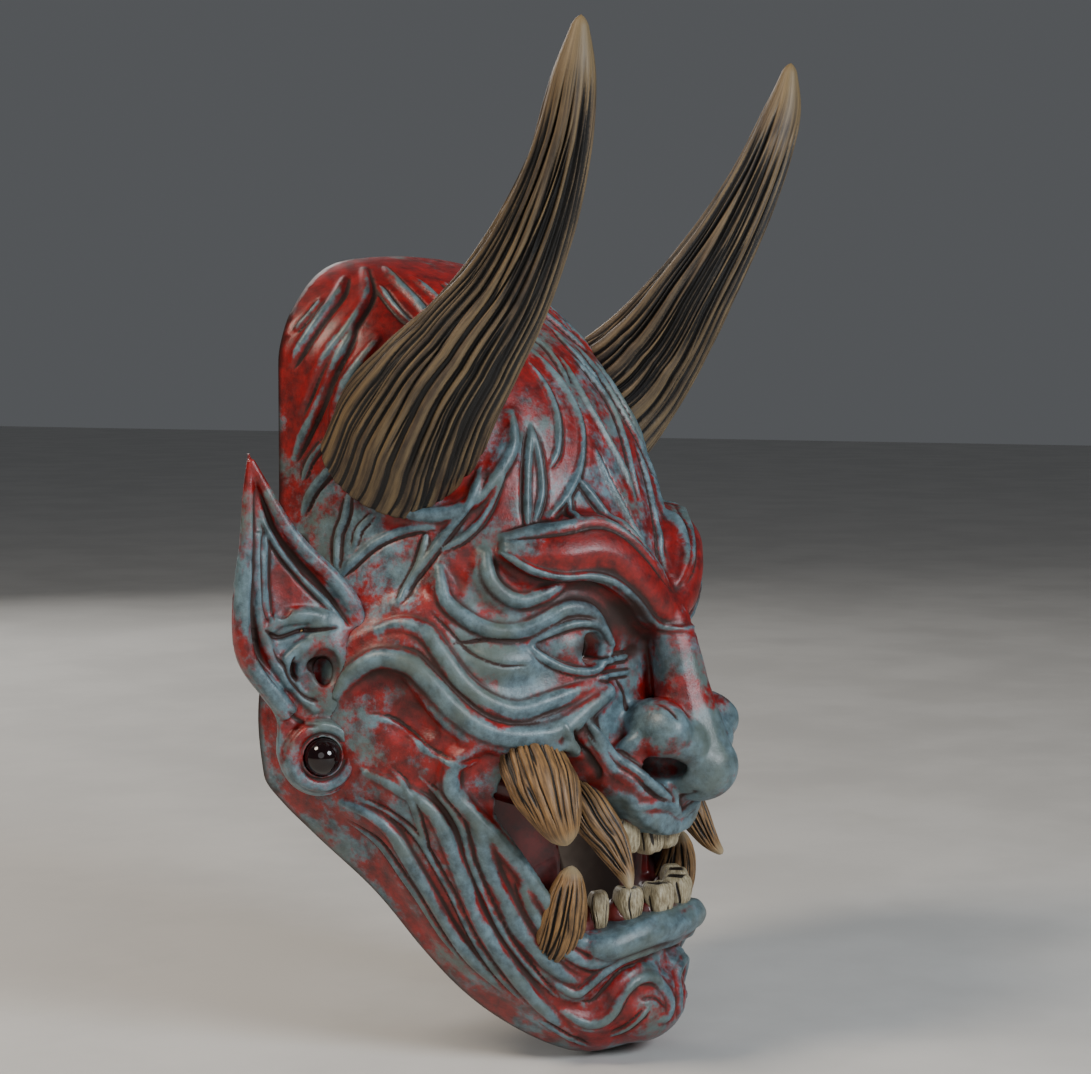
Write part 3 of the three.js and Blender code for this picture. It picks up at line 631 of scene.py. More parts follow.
def flutedBar(name, path, radii, sides, rings, grooves, width, depth, round, flat, seed, tip, seatCalm=0):
    pick = random.Random(seed)
    line = smoothPath(path, rings)
    along = np.linspace(0, 1, rings)
    radius = profile([(i / (len(radii) - 1), r) for i, r in enumerate(radii)])(along)
    closing = np.clip((1 - along) / tip, 0, 1)
    radius = radius * np.sqrt(closing * (2 - closing))
    ahead = np.gradient(line, axis=0)
    ahead /= np.linalg.norm(ahead, axis=1)[:, None]
    side = np.cross(ahead, [0.35, 1, 0.1])
    side /= np.linalg.norm(side, axis=1)[:, None]
    other = np.cross(ahead, side)
    lines = []
    for i in range(grooves):  # each groove: place, drift, wave, phase, start, end, width and depth
        long = i % 3 == 0
        lines.append(((i + pick.uniform(-0.35, 0.35)) / grooves, pick.uniform(-0.035, 0.035), pick.uniform(0.002, 0.011),
                      pick.uniform(0, 6), pick.uniform(-0.3, 0.1) if long else pick.uniform(-0.4, 0.6),
                      pick.uniform(0.82, 0.97) if long else pick.uniform(0.45, 0.9),
                      width * pick.uniform(0.45, 1.4), depth * (pick.uniform(0.7, 1.15) if long else pick.uniform(0.35, 0.9))))
    bm = bmesh.new()
    bmesh.ops.create_grid(bm, x_segments=sides, y_segments=rings - 1, size=1)
    bm.verts.ensure_lookup_table()
    grid = np.array([v.co for v in bm.verts])
    u, ring = (grid[:, 0] + 1) / 2, np.rint((grid[:, 1] + 1) / 2 * (rings - 1)).astype(int)
    v, r = along[ring], radius[ring]
    girth = 2 * np.pi * np.maximum(r, 0.01)
    cut, nearest = np.zeros(len(u)), np.full(len(u), 9.0)
    for place, drift, wave, phase, start, end, w, d in lines:
        middle = place + drift * v + wave * np.sin(phase + 7 * v)
        away = np.abs((u - middle + 0.5) % 1 - 0.5) * girth
        fade = smoothStep(start, start + 0.12, v) * (1 - smoothStep(end - 0.14, end, v))
        fade = fade * np.clip(r / (radii[1] * 0.35), 0.25, 1)
        cut = np.maximum(cut, d * fade * np.exp(-(away / (w * (0.5 + 0.5 * fade))) ** 2))
        nearest = np.minimum(nearest, away + 3 * (1 - fade))
    swell = round * np.sqrt(np.clip(nearest / 2.6, 0, 1)) * np.clip(r / radii[1] * 1.6, 0, 1)
    seated = 1 - seatCalm * (1 - smoothStep(0.06, 0.2, v))  # the relief eases off towards a crisp seat line
    r = np.where(r > 0.02, np.maximum(r + (swell - cut - 0.6 * round) * seated, 0.05), r)
    turn = 2 * np.pi * u
    co = line[ring] + side[ring] * (r * np.cos(turn))[:, None] + other[ring] * (r * flat * np.sin(turn))[:, None]
    bm.to_mesh(mesh := bpy.data.meshes.new(name))
    bm.free()
    writeCo(mesh, co)
    setAttribute(mesh, "groove", cut / depth)
    setAttribute(mesh, "along", v)
    setAttribute(mesh, "around", u)
    bm = bmesh.new()
    bm.from_mesh(mesh)
    bmesh.ops.remove_doubles(bm, verts=bm.verts, dist=1e-3)
    bmesh.ops.holes_fill(bm, edges=[e for e in bm.edges if e.is_boundary], sides=0)
    bmesh.ops.recalc_face_normals(bm, faces=bm.faces)
    return newPiece(name, bm)


def placed(piece, nodes):  # a finished piece rides the one body and stands for its CAD nodes
    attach(piece, "root")
    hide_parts(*nodes)
    return piece


pieces = {"lacquer": [placed(faceShell, ["face_shell"])]}

say("horns")
horn = flutedBar("hornRight", **horns)
horn = cutBy(horn, copied(seatForm, "cutter"))
hornFittings = joined("hornFittings", [alongSeat(8, -30, 18.3, 6.3), alongSeat(-9, -9, 20, 2.8)])
horn = finished(cutBy(horn, hornFittings))
horn.name = "hornRight"
pieces["horn"] = [placed(horn, ["horn_right"]),
                  placed(mirroredPiece(horn, "hornLeft"), ["horn_left"])]


# ears are worked flat, with x outwards, y up and z away from the face's front
say("ears")
earOutline = [(36, 210), (38, 196), (39, 182), (41, 168), (42, 154), (41, 144), (38, 137), (32, 129), (27, 121), (27, 109),
              (22, 99), (13, 95), (4, 98), (-1, 108), (1, 116), (2, 124), (-1, 132), (-2, 142), (-3, 152), (1, 159),
              (8, 167), (17, 176), (24, 186), (30, 197)]


def ring(x, y, radius, count=12):
    return [(x + radius * math.cos(2 * math.pi * i / count), y + radius * math.sin(2 * math.pi * i / count))
            for i in range(count + 1)]


def flatPlate(outline, near, far):
    bm = bmesh.new()
    loop = smoothPath(outline + outline[:1], 120)[:-1]
    face = bm.faces.new([bm.verts.new((x, y, near)) for x, y in loop])
    out = bmesh.ops.extrude_face_region(bm, geom=[face])["geom"]
    bmesh.ops.translate(bm, vec=(0, 0, far - near), verts=[g for g in out if isinstance(g, bmesh.types.BMVert)])
    bmesh.ops.recalc_face_normals(bm, faces=bm.faces)
    return newPiece("plate", bm)


def flatStrip(points, radii, depth):
    return [(x, y, depth) for x, y in points], radii


earClay = [flatPlate(earOutline, 2.4, 6)]
earClay.append(clayStrips([
    # outer rim from the tip down to the lobe
    flatStrip([(36, 208), (36.8, 196), (37, 182), (38.2, 168), (38.8, 154), (37.6, 145), (34.5, 138.5), (29, 131), (23, 123)],
              [1.2, 2, 2.8, 3.3, 3.4, 3.3, 3.2, 3.2, 3], 1.6),
    # front edge
    flatStrip([(36, 208), (31, 198), (25.5, 188), (18.5, 178.5), (10, 170), (2.5, 161), (-0.5, 152)],
              [1.2, 2, 2.3, 2.6, 2.8, 3, 3.2], 1.4),
    # second rim
    flatStrip([(33.4, 184), (33.4, 168), (33.4, 156), (31, 147), (26.5, 138.5), (20.5, 131), (14, 124)],
              [1, 1.9, 2.2, 2.4, 2.4, 2.4, 2], 2.2),
    # upper fold of the inner ridge
    flatStrip([(31.5, 150), (27.5, 154.5), (21, 156), (14, 155.5), (8, 152.5)], [2, 2.7, 3, 2.8, 1.4], 2.2),
    # fold over the canal
    flatStrip([(-1, 153), (6, 150), (13, 148), (20, 145), (25, 140), (24.5, 134.5), (20, 131)], [2, 2.3, 2.4, 2.4, 2.3, 2, 1.3], 1.2),
    # small fold inside it, round the canal
    flatStrip([(13, 144.5), (18, 142), (20, 137.5), (17.5, 133)], [1.2, 1.7, 1.7, 1.1], 1.2),
    # knob before the canal
    flatStrip([(2, 147), (3.6, 140), (7, 134)], [1.6, 2.6, 2], 1),
    # lobe ring
    flatStrip(ring(13, 109, 10), [3.2, 3.2], 1),
], mirror=False))
earClay.append(clayBalls([((9, 140, 9), (13, 24, 12), 0), ((13, 109, 2.5), (13.4, 13.4, 5.2), 0)], mirror=False))
ear = joined("ear", earClay)
addModifier(ear, "REMESH", mode="VOXEL", voxel_size=0.5, adaptivity=0)
ear = bake(ear)
for hollow in [((12.8, 138.6, -3.4), (6, 7.4, 4.3), 0), ((12, 137.5, 1), (3, 5, 8), 0), ((14.6, 139.5, 1), (3.2, 2.8, 5), 0),
               ((13, 109, -1.5), (6.6, 6.6, 6.6), 0), ((26, 168, 0.4), (6, 13, 2.6), 0)]:
    ear = cutBy(ear, clayBalls([hollow], mirror=False))
addModifier(ear, "REMESH", mode="VOXEL", voxel_size=0.5, adaptivity=0)
addModifier(ear, "SMOOTH", factor=0.5, iterations=4)
ear = bake(ear)
earStrokes = [
    ([(34.6, 198), (34.8, 182), (35.6, 169), (35.8, 156), (34.6, 146), (31.6, 139), (27, 132)], 1.1, 0, 1.6, 0),
    ([(33, 197), (28, 184.5), (21, 175), (14, 167.5), (7, 159), (3, 152)], 1.1, 0, 1.6, 0),
    ([(32, 188), (27, 179), (20.5, 170.5), (13.5, 163), (8, 157.5)], 1.1, 1.1, 1.1, 0),
    ([(30.5, 186), (31.2, 172), (30.6, 160), (29.5, 154)], 1, 0.6, 0.9, 0),
    ([(32, 152), (27, 149), (20, 150.8), (13, 151.6), (7, 152)], 1, 0, 1.6, 0),
    ([(22, 143), (22.6, 138), (21, 134)], 0.8, 0, 1.2, 0),
    ([(29, 146), (25.5, 139), (20, 130.5), (14, 127)], 1, 0, 1.3, 0),
    ([(36.5, 175), (38.5, 160), (38.6, 150)], 1.2, 0.5, 0, 0),
    ([(25, 125), (20, 121), (14, 119.5)], 1.2, 0, 0.9, 0),
    (ring(13, 109, 7.6), 0.9, 0, 1.1, 0),
    (ring(13, 109, 12.6), 1.2, 0, 0.7, 0),
]
earPatches = [(np.array([x, y, 0.0]), reach, strength) for x, y, reach, strength in [
    (36, 204, 9, -0.8), (39, 170, 14, 0.4), (40, 148, 6, -0.5), (30, 135, 9, 0.3), (13, 109, 16, 0.4), (24, 168, 10, -0.6),
    (13, 109, 8, -0.7), (10, 172, 12, 0.3), (22, 118, 5, -0.5), (16, 155, 9, 0.4)]]
co = readCo(ear.data)
# the last list is painted shade: dark patches in the concha round the canal, in the fossa and beside the inner ridge
carve(ear, earStrokes, lambda p: np.c_[p[:, 0], p[:, 1], np.zeros(len(p))], co[:, :2].copy(),
      np.tile([0.0, 0.0, -1.0], (len(co), 1)), earPatches,
      [(np.array([13, 139, 0]), 6.5, 0.9), (np.array([25, 171, 0]), 8, 0.45), (np.array([33, 149, 0]), 4, 0.4)])
outwards, inwards = Vector((-0.76604, 0.64279, 0)), Vector((0.64279, 0.76604, 0))
stand = Matrix.Translation((-76, -35, 0)) @ Matrix((outwards, (0, 0, 1), inwards)).transposed().to_4x4()
ear.data.transform(stand)
ear = cutBy(ear, seatForm)
ear = cutBy(ear, rod(stand @ Vector((16, 148, 3.6)), stand @ Vector((16, 148, 40)), 4.3))
bm = bmesh.new()
bmesh.ops.create_uvsphere(bm, u_segments=96, v_segments=64, radius=6.3, matrix=Matrix.Translation(stand @ Vector((13, 109, -1.5))))
bead = finished(newPiece("earBeadRight", bm))
ear = finished(ear)
ear.name = "earRight"
pieces["lacquer"] += [placed(ear, ["ear_right"]),
                      placed(mirroredPiece(ear, "earLeft"), ["ear_left"])]
pieces["bead"] = [placed(bead, ["ear_bead_right"]),
                  placed(mirroredPiece(bead, "earBeadLeft"), ["ear_bead_left"])]

# tusks and teeth are each a piece of their own, set in gums
say("tusks, teeth and gums")
tusks = dict(
    upperOuterTusk=dict(path=[(-44, -77, 110), (-50, -87, 106), (-55, -96, 97), (-56.5, -101, 89), (-54.5, -103, 81)],
                        radii=[9.4, 12.4, 12.6, 9.2, 3.2], sides=300, rings=100, grooves=54, width=0.42, depth=0.95,
                        round=0.7, flat=0.86, seed=3, tip=0.09),
    upperInnerTusk=dict(path=[(-31, -91, 96), (-32, -99, 88), (-31, -106, 79), (-32, -112, 70), (-35, -116, 64.5)],
                        radii=[6.4, 7.6, 6.8, 4.6, 1.3], sides=220, rings=90, grooves=38, width=0.36, depth=0.75,
                        round=0.55, flat=0.9, seed=11, tip=0.03),
    lowerTusk=dict(path=[(-37, -86, 40), (-40, -92, 49), (-41, -95, 59), (-39, -96, 71)],
                   radii=[7.2, 8.8, 7.2, 2.8], sides=220, rings=80, grooves=36, width=0.42, depth=0.9,
                   round=0.6, flat=0.9, seed=5, tip=0.1))
teeth = [  # name, middle, size, turn, and how far its top is hollowed
    ("upperTooth1", (-6, -107.5, 78), (10, 9, 15), 6, 0.6),
    ("upperTooth2", (-17, -104, 79.5), (10, 9, 15), 20, 0.6),
    ("lowerTooth1", (-7, -111.5, 55), (11.5, 10, 14), 8, 2.2),
    ("lowerTooth2", (-18, -106, 55), (9.5, 9.5, 13.5), 26, 1.4),
    ("lowerTooth3", (-27, -99.5, 54), (6.5, 8, 14), 40, 0.3)]
gumArches = dict(
    upper=[(-50, -70, 99), (-38, -84, 94), (-25, -91, 90), (0, -94.5, 88), (25, -91, 90), (38, -84, 94), (50, -70, 99)],
    lower=[(-47, -70, 64), (-38, -84, 51), (-24, -94, 45), (0, -99, 44), (24, -94, 45), (38, -84, 51), (47, -70, 64)])


def carvedTooth(name, middle, size, turn, hollow, seed):  # a blunt block, fuller at its waist, with upright cracks
    pick = random.Random(seed)
    bm = bmesh.new()
    bmesh.ops.create_cube(bm, size=2)
    bmesh.ops.subdivide_edges(bm, edges=bm.edges, cuts=35, use_grid_fill=True)
    piece = newPiece(name, bm)
    p = readCo(piece.data)
    free = -1 if name.startswith("upper") else 1  # which end is bare
    up = p[:, 2] * free
    block = p / ((np.abs(p) ** 3.6).sum(1) ** (1 / 3.6))[:, None]
    waist = 1 - 0.16 * (block[:, 2] * free - 0.25) ** 2 - 0.05 * np.clip(-block[:, 2] * free, 0, 1)
    around = np.arctan2(block[:, 1], block[:, 0])
    lumps = sum(0.025 * np.sin(k * around + pick.uniform(0, 6) + pick.uniform(-2, 2) * p[:, 2]) for k in (2, 3, 5))
    block = block * np.c_[waist + lumps, waist + lumps, np.ones(len(p))]
    cut = np.zeros(len(p))
    for i in range(11):
        place, reach, deep = pick.uniform(-3.1, 3.1), pick.uniform(0.04, 0.11), pick.uniform(0.3, 1)
        start = pick.uniform(-0.9, 0.9)
        away = np.abs((around - place - 0.12 * np.sin(3 * p[:, 2] + place) + np.pi) % (2 * np.pi) - np.pi)
        cut = np.maximum(cut, deep * np.exp(-(away / reach) ** 2) * smoothStep(start, start + 0.4, -up + 0.6))
    cut = cut * np.clip(1 - np.abs(block[:, 2]) ** 3, 0, 1)
    inward = np.c_[block[:, 0], block[:, 1], np.zeros(len(p))]
    co = block * np.array(size) / 2 - inward * cut[:, None] * 0.45
    top = np.clip(up * 1.02, 0, 1) ** 12 * np.exp(-((p[:, 0] / 0.62) ** 4 + (p[:, 1] / 0.62) ** 4))
    co[:, 2] -= free * hollow * top
    co[:, 2] += 0.25 * np.sin(0.9 * co[:, 0] + seed) * smoothStep(0.2, 0.8, up)
    writeCo(piece.data, co)
    setAttribute(piece.data, "groove", np.maximum(cut, top * min(hollow, 1.6) / 1.6))
    setAttribute(piece.data, "along", (up + 1) / 2 * 0.86)
    setAttribute(piece.data, "around", around / 6.2832 + 0.5)
    piece.data.transform(Matrix.Translation(middle) @ Matrix.Rotation(math.radians(-turn), 4, "Z"))
    return piece


def bothSides(piece, name, node, group):  # node has {} where the side's name goes
    left = mirroredPiece(piece, name + "Left")
    piece.name = name + "Right"
    pieces.setdefault(group, []).extend([placed(piece, [node.format("right")]), placed(left, [node.format("left")])])


gums = {}
for which, arch in gumArches.items():
    lift = 1 if which == "upper" else -1
    strips = [(arch, [5.4, 6.6, 7.4, 7.6, 7.4, 6.6, 5.4]),
              ([(x * 0.97, y + 2, z + 5 * lift) for x, y, z in arch], [4.6, 6, 6.6, 6.8, 6.6, 6, 4.6])]
    gum = clayStrips(strips, mirror=False)
    if which == "lower":
        walls = flatPlate([(-56, 105), (-49, 108), (-42, 104), (-36, 92), (-31, 70), (-33, 52), (-44, 58), (-53, 66)], -1.5, 1.5)
        wall = readCo(walls.data)  # the flat plate is bent to follow the arch
        bend = profile([(-60, -57), (-56, -61), (-53, -64), (-44, -76), (-33, -85.5), (-29, -88)])
        writeCo(walls.data, np.c_[wall[:, 0] + 0.75 * wall[:, 2], bend(wall[:, 0]) + 0.66 * wall[:, 2], wall[:, 1]])
        strips.append(([(-51, -66, 66), (-44, -76, 60), (-34, -85, 55)], [3, 3.4, 3]))
        strips.append(([(51, -66, 66), (44, -76, 60), (34, -85, 55)], [3, 3.4, 3]))
    roots = [((x, y + 3, z + lift * 3.5), (s[0] * 0.62, s[1] * 0.62, 6), 0) for n, (x, y, z), s, t, h in teeth
             if n.startswith(which)]
    parts = [gum, clayBalls(roots)]
    if which == "lower":
        parts += [mirroredPiece(walls, "wallLeft"), walls]
    gum = joined(which + "Gum", parts)
    addModifier(gum, "REMESH", mode="VOXEL", voxel_size=0.8, adaptivity=0)
    addModifier(gum, "SMOOTH", factor=0.5, iterations=5)
    gums[which] = bake(gum)
    if which == "upper":
        upperRoom = clayStrips([(points, [r + 0.5 for r in radii]) for points, radii in strips], mirror=False)
gums["lower"] = cutBy(gums["lower"], upperRoom)

for number, (name, settings) in enumerate(tusks.items()):
    tusk = flutedBar(name, **settings)
    which = name[:5]
    both = joined("cutter", [copied(tusk, "one"), mirroredPiece(tusk, "two")])
    if name == "upperOuterTusk":
        gums["lower"] = cutBy(gums["lower"], copied(both, "cutter"))
    gums[which] = cutBy(gums[which], both)
    node = "".join("_" + c.lower() if c.isupper() else c for c in name) + "_{}"
    bothSides(finished(tusk), name, node, "tusk")
for number, (name, middle, size, turn, hollow) in enumerate(teeth):
    tooth = carvedTooth(name, middle, size, turn, hollow, 20 + number)
    gums[name[:5]] = cutBy(gums[name[:5]], joined("cutter", [copied(tooth, "one"), mirroredPiece(tooth, "two")]))
    bothSides(finished(tooth), name, f"{name[:5]}_tooth_{{}}_{name[-1]}", "tooth")
for which, gum in gums.items():
    addModifier(gum, "REMESH", mode="VOXEL", voxel_size=0.5, adaptivity=0)  # clears slivers in the sockets
    gum = bake(gum)
    largestBody(gum)
    gum = finished(gum)
    gum.name = which + "Gum"
    pieces.setdefault("gum", []).append(placed(gum, [which + "_gum"]))


# fitting pads: soft leather over felt, worked from their CAD solids
say("pads")
pads = dict(
    foreheadPad=dict(node="forehead_pad", plane=(0, 2), facing=(0, 1, 0), inset=4),
    cheekPadRight=dict(node="cheek_pad_right", plane=(1, 2), facing=(0.9, 0.4, 0), inset=4))


def roundedPad(name, node, plane, facing, inset):
    piece = newPiece(name, mesh=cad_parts[node].data.copy())
    piece.data.materials.clear()
    piece.data.transform(Matrix.Translation((0, 0, eyeLevel)) @ Matrix.Scale(1000, 4))
    addModifier(piece, "WELD", merge_threshold=0.01)
    addModifier(piece, "REMESH", mode="VOXEL", voxel_size=0.8, adaptivity=0)
    addModifier(piece, "SMOOTH", factor=0.5, iterations=14)
    piece = bake(piece)
    co = readCo(piece.data)
    flat = co[:, plane]
    low, high = flat.min(0) + inset, flat.max(0) - inset
    middle, half = (low + high) / 2, (high - low) / 2
    seam = [(middle[0] + half[0] * math.copysign(abs(math.cos(t)) ** 0.5, math.cos(t)),
             middle[1] + half[1] * math.copysign(abs(math.sin(t)) ** 0.5, math.sin(t)))
            for t in np.linspace(0, 2 * math.pi, 33)]
    path = smoothPath(seam, 400)
    run = np.r_[0, np.cumsum(np.linalg.norm(np.diff(path, axis=0), axis=1))]
    stitches = int(run[-1] / 4)
    strokes = [(seam, 1.1, 0, 0.9, 0)]
    for i in range(stitches):
        a, b = np.interp([4 * i, 4 * i + 2.6], run, np.arange(400)).astype(int)
        strokes.append(([tuple(path[a]), tuple((path[a] + path[b]) / 2), tuple(path[b])], 0.42, 0.75, 0, 0))

    def toBase(p):
        out = np.zeros((len(p), 3))
        out[:, plane] = p
        return out
    way = np.array(facing, float)
    carve(piece, strokes, toBase, flat.copy(), np.tile(way / np.linalg.norm(way), (len(co), 1)), [])
    return finished(piece)


pad = roundedPad("foreheadPad", **pads["foreheadPad"])
pieces["pad"] = [placed(pad, ["forehead_pad"])]
bothSides(roundedPad("cheekPad", **pads["cheekPadRight"]), "cheekPad", "cheek_pad_{}", "pad")


# materials
say("materials")


def newMaterial(name):
    material = bpy.data.materials.new(name)
    material.use_nodes = True
    material.node_tree.nodes.clear()
    return material, material.node_tree


def addNode(tree, kind, inputs=None, **settings):
    node = tree.nodes.new("ShaderNode" + kind)
    for key, value in settings.items():
        setattr(node, key, value)
    for key, value in (inputs or {}).items():
        if isinstance(value, bpy.types.NodeSocket):
            tree.links.new(value, node.inputs[key])
        else:
            node.inputs[key].default_value = value
    return node


def finishMaterial(tree, surface):
    addNode(tree, "OutputMaterial", {"Surface": surface.outputs[0]})


def perMm(size):  # texture scale for a pattern of this many millimetres, on coordinates in metres
    return 1000 / size


def lacquerMaterial():
    # worn urushi lacquer on carved cypress: blood red under a rubbed blue-grey top coat, dark lacquer in the cuts and
    # painted shade in the hollows, which gives the eye mottled edges between the two coats and a satin skin
    material, tree = newMaterial("wornUrushiLacquer")
    where = addNode(tree, "TexCoord").outputs["Object"]
    patina = addNode(tree, "Attribute", attribute_name="patina").outputs["Fac"]
    groove = addNode(tree, "Attribute", attribute_name="groove").outputs["Fac"]
    outside = addNode(tree, "Attribute", attribute_name="outside").outputs["Fac"]
    cloud = addNode(tree, "TexNoise", {"Vector": where, "Scale": perMm(16), "Detail": 7, "Roughness": 0.62}).outputs["Fac"]
    fleck = addNode(tree, "TexNoise", {"Vector": where, "Scale": perMm(2.2), "Detail": 5, "Roughness": 0.7}).outputs["Fac"]
    grain = addNode(tree, "TexNoise", {"Vector": where, "Scale": perMm(0.6), "Detail": 3, "Roughness": 0.6}).outputs["Fac"]
    blotch = addNode(tree, "Math", {0: addNode(tree, "Math", {0: cloud, 1: 2.4}, operation="MULTIPLY").outputs[0],
                                    1: addNode(tree, "Math", {0: fleck, 1: 0.9}, operation="MULTIPLY").outputs[0]},
                     operation="ADD").outputs[0]
    worn = addNode(tree, "Math", {0: patina, 1: blotch}, operation="ADD").outputs[0]
    grey = addNode(tree, "MapRange", {0: worn, 1: 1.45, 2: 1.9}, interpolation_type="SMOOTHSTEP").outputs[0]
    mottle = addNode(tree, "TexNoise", {"Vector": where, "Scale": perMm(5), "Detail": 6, "Roughness": 0.68}).outputs["Fac"]
    shade = addNode(tree, "MapRange", {0: mottle, 1: 0.35, 2: 0.65}).outputs[0]
    red = addNode(tree, "Mix", {0: shade, 6: linear("#4e0908"), 7: linear("#94120f")}, data_type="RGBA").outputs[2]
    slate = addNode(tree, "Mix", {0: shade, 6: linear("#394a50"), 7: linear("#6b848d")}, data_type="RGBA").outputs[2]
    moss = addNode(tree, "TexNoise", {"Vector": where, "Scale": perMm(24), "Detail": 4, "Roughness": 0.6}).outputs["Fac"]
    mossAt = addNode(tree, "MapRange", {0: moss, 1: 0.46, 2: 0.62, 3: 0, 4: 0.7}).outputs[0]
    slate = addNode(tree, "Mix", {0: mossAt, 6: slate, 7: linear("#59635a")}, data_type="RGBA").outputs[2]
    coats = addNode(tree, "Mix", {0: grey, 6: red, 7: slate}, data_type="RGBA").outputs[2]
    # painted shade: the groove attribute's hollow, recess and shadow-patch terms darken the coats to near-black brown,
    # on top of the dark lacquer in the cut lines
    grooveAndShadeAt = addNode(tree, "Math", {0: groove, 1: addNode(tree, "Math", {0: fleck, 1: 0.5}, operation="MULTIPLY").outputs[0]},
                     operation="ADD").outputs[0]
    grooveAndShade = addNode(tree, "MapRange", {0: grooveAndShadeAt, 1: 0.36, 2: 1.15}, interpolation_type="SMOOTHSTEP").outputs[0]
    grooveAndShadeColor = addNode(tree, "Mix", {0: fleck, 6: linear("#140806"), 7: linear("#3a1a0e")}, data_type="RGBA").outputs[2]
    coatsWithGrooveShade = addNode(tree, "Mix", {0: grooveAndShade, 6: coats, 7: grooveAndShadeColor}, data_type="RGBA").outputs[2]
    spots = addNode(tree, "MapRange", {0: grain, 1: 0.62, 2: 0.72}).outputs[0]
    spotted = addNode(tree, "Mix", {0: addNode(tree, "Math", {0: spots, 1: 0.35}, operation="MULTIPLY").outputs[0],
                                    6: coatsWithGrooveShade, 7: linear("#2a1512")}, data_type="RGBA").outputs[2]
    chisel = addNode(tree, "TexVoronoi", {"Vector": where, "Scale": perMm(9)}, feature="SMOOTH_F1").outputs["Distance"]
    bare = addNode(tree, "Mix", {0: cloud, 6: linear("#170b07"), 7: linear("#2c170e")}, data_type="RGBA").outputs[2]
    colour = addNode(tree, "Mix", {0: outside, 6: bare, 7: spotted}, data_type="RGBA").outputs[2]
    skin = addNode(tree, "MapRange", {0: fleck, 1: 0.2, 2: 0.8, 3: 0.3, 4: 0.5}).outputs[0]
    rough = addNode(tree, "Mix", {0: grooveAndShade, 2: skin, 3: 0.75}).outputs[0]
    relief = addNode(tree, "Mix", {0: outside, 2: addNode(tree, "Math", {0: chisel, 1: 4}, operation="MULTIPLY").outputs[0],
                                   3: addNode(tree, "Math", {0: fleck, 1: grain}, operation="ADD").outputs[0]}).outputs[0]
    bump = addNode(tree, "Bump", {"Strength": 0.22, "Distance": 0.0006, "Height": relief}).outputs["Normal"]
    finishMaterial(tree, addNode(tree, "BsdfPrincipled", {
        "Base Color": colour, "Roughness": rough, "Normal": bump, "IOR": 1.52, "Coat Weight": 0.15, "Coat Roughness": 0.3}))
    return material


def flutedMaterial(name, light, mid, dark, grooveColor, tipColor, grainMm, roughness):
    # carved and stained hardwood: long fibres light and dark, with ink left in the cuts
    material, tree = newMaterial(name)
    where = addNode(tree, "TexCoord").outputs["Object"]
    groove = addNode(tree, "Attribute", attribute_name="groove").outputs["Fac"]
    along = addNode(tree, "Attribute", attribute_name="along").outputs["Fac"]
    around = addNode(tree, "Attribute", attribute_name="around").outputs["Fac"]
    fibreAt = addNode(tree, "CombineXYZ", {0: addNode(tree, "Math", {0: around, 1: 60}, operation="MULTIPLY").outputs[0],
                                           1: addNode(tree, "Math", {0: along, 1: 5}, operation="MULTIPLY").outputs[0]}).outputs[0]
    fibre = addNode(tree, "TexNoise", {"Vector": fibreAt, "Scale": 1, "Detail": 6, "Roughness": 0.65}).outputs["Fac"]
    cloud = addNode(tree, "TexNoise", {"Vector": where, "Scale": perMm(grainMm * 12), "Detail": 5, "Roughness": 0.6}).outputs["Fac"]
    grain = addNode(tree, "TexNoise", {"Vector": where, "Scale": perMm(grainMm), "Detail": 4, "Roughness": 0.7}).outputs["Fac"]
    stain = addNode(tree, "Mix", {0: addNode(tree, "MapRange", {0: cloud, 1: 0.3, 2: 0.7}).outputs[0],
                                  6: linear(dark), 7: linear(mid)}, data_type="RGBA").outputs[2]
    wood = addNode(tree, "Mix", {0: addNode(tree, "MapRange", {0: fibre, 1: 0.42, 2: 0.62}).outputs[0],
                                 6: stain, 7: linear(light)}, data_type="RGBA").outputs[2]
    bareTip = addNode(tree, "MapRange", {0: along, 1: 0.86, 2: 1.0, 3: 0, 4: 0.7}).outputs[0]
    tipped = addNode(tree, "Mix", {0: bareTip, 6: wood, 7: linear(tipColor)}, data_type="RGBA").outputs[2]
    inkAt = addNode(tree, "Math", {0: groove, 1: addNode(tree, "Math", {0: grain, 1: 0.45}, operation="MULTIPLY").outputs[0]},
                    operation="ADD").outputs[0]
    ink = addNode(tree, "MapRange", {0: inkAt, 1: 0.4, 2: 0.72}, interpolation_type="SMOOTHSTEP").outputs[0]
    colour = addNode(tree, "Mix", {0: ink, 6: tipped, 7: linear(grooveColor)}, data_type="RGBA").outputs[2]
    rough = addNode(tree, "MapRange", {0: fibre, 1: 0.2, 2: 0.8, 3: roughness + 0.12, 4: roughness - 0.06}).outputs[0]
    relief = addNode(tree, "Math", {0: fibre, 1: grain}, operation="ADD").outputs[0]
    bump = addNode(tree, "Bump", {"Strength": 0.35, "Distance": 0.0005, "Height": relief}).outputs["Normal"]
    finishMaterial(tree, addNode(tree, "BsdfPrincipled", {
        "Base Color": colour, "Roughness": rough, "Normal": bump, "IOR": 1.5, "Coat Weight": 0.08, "Coat Roughness": 0.35}))
    return material


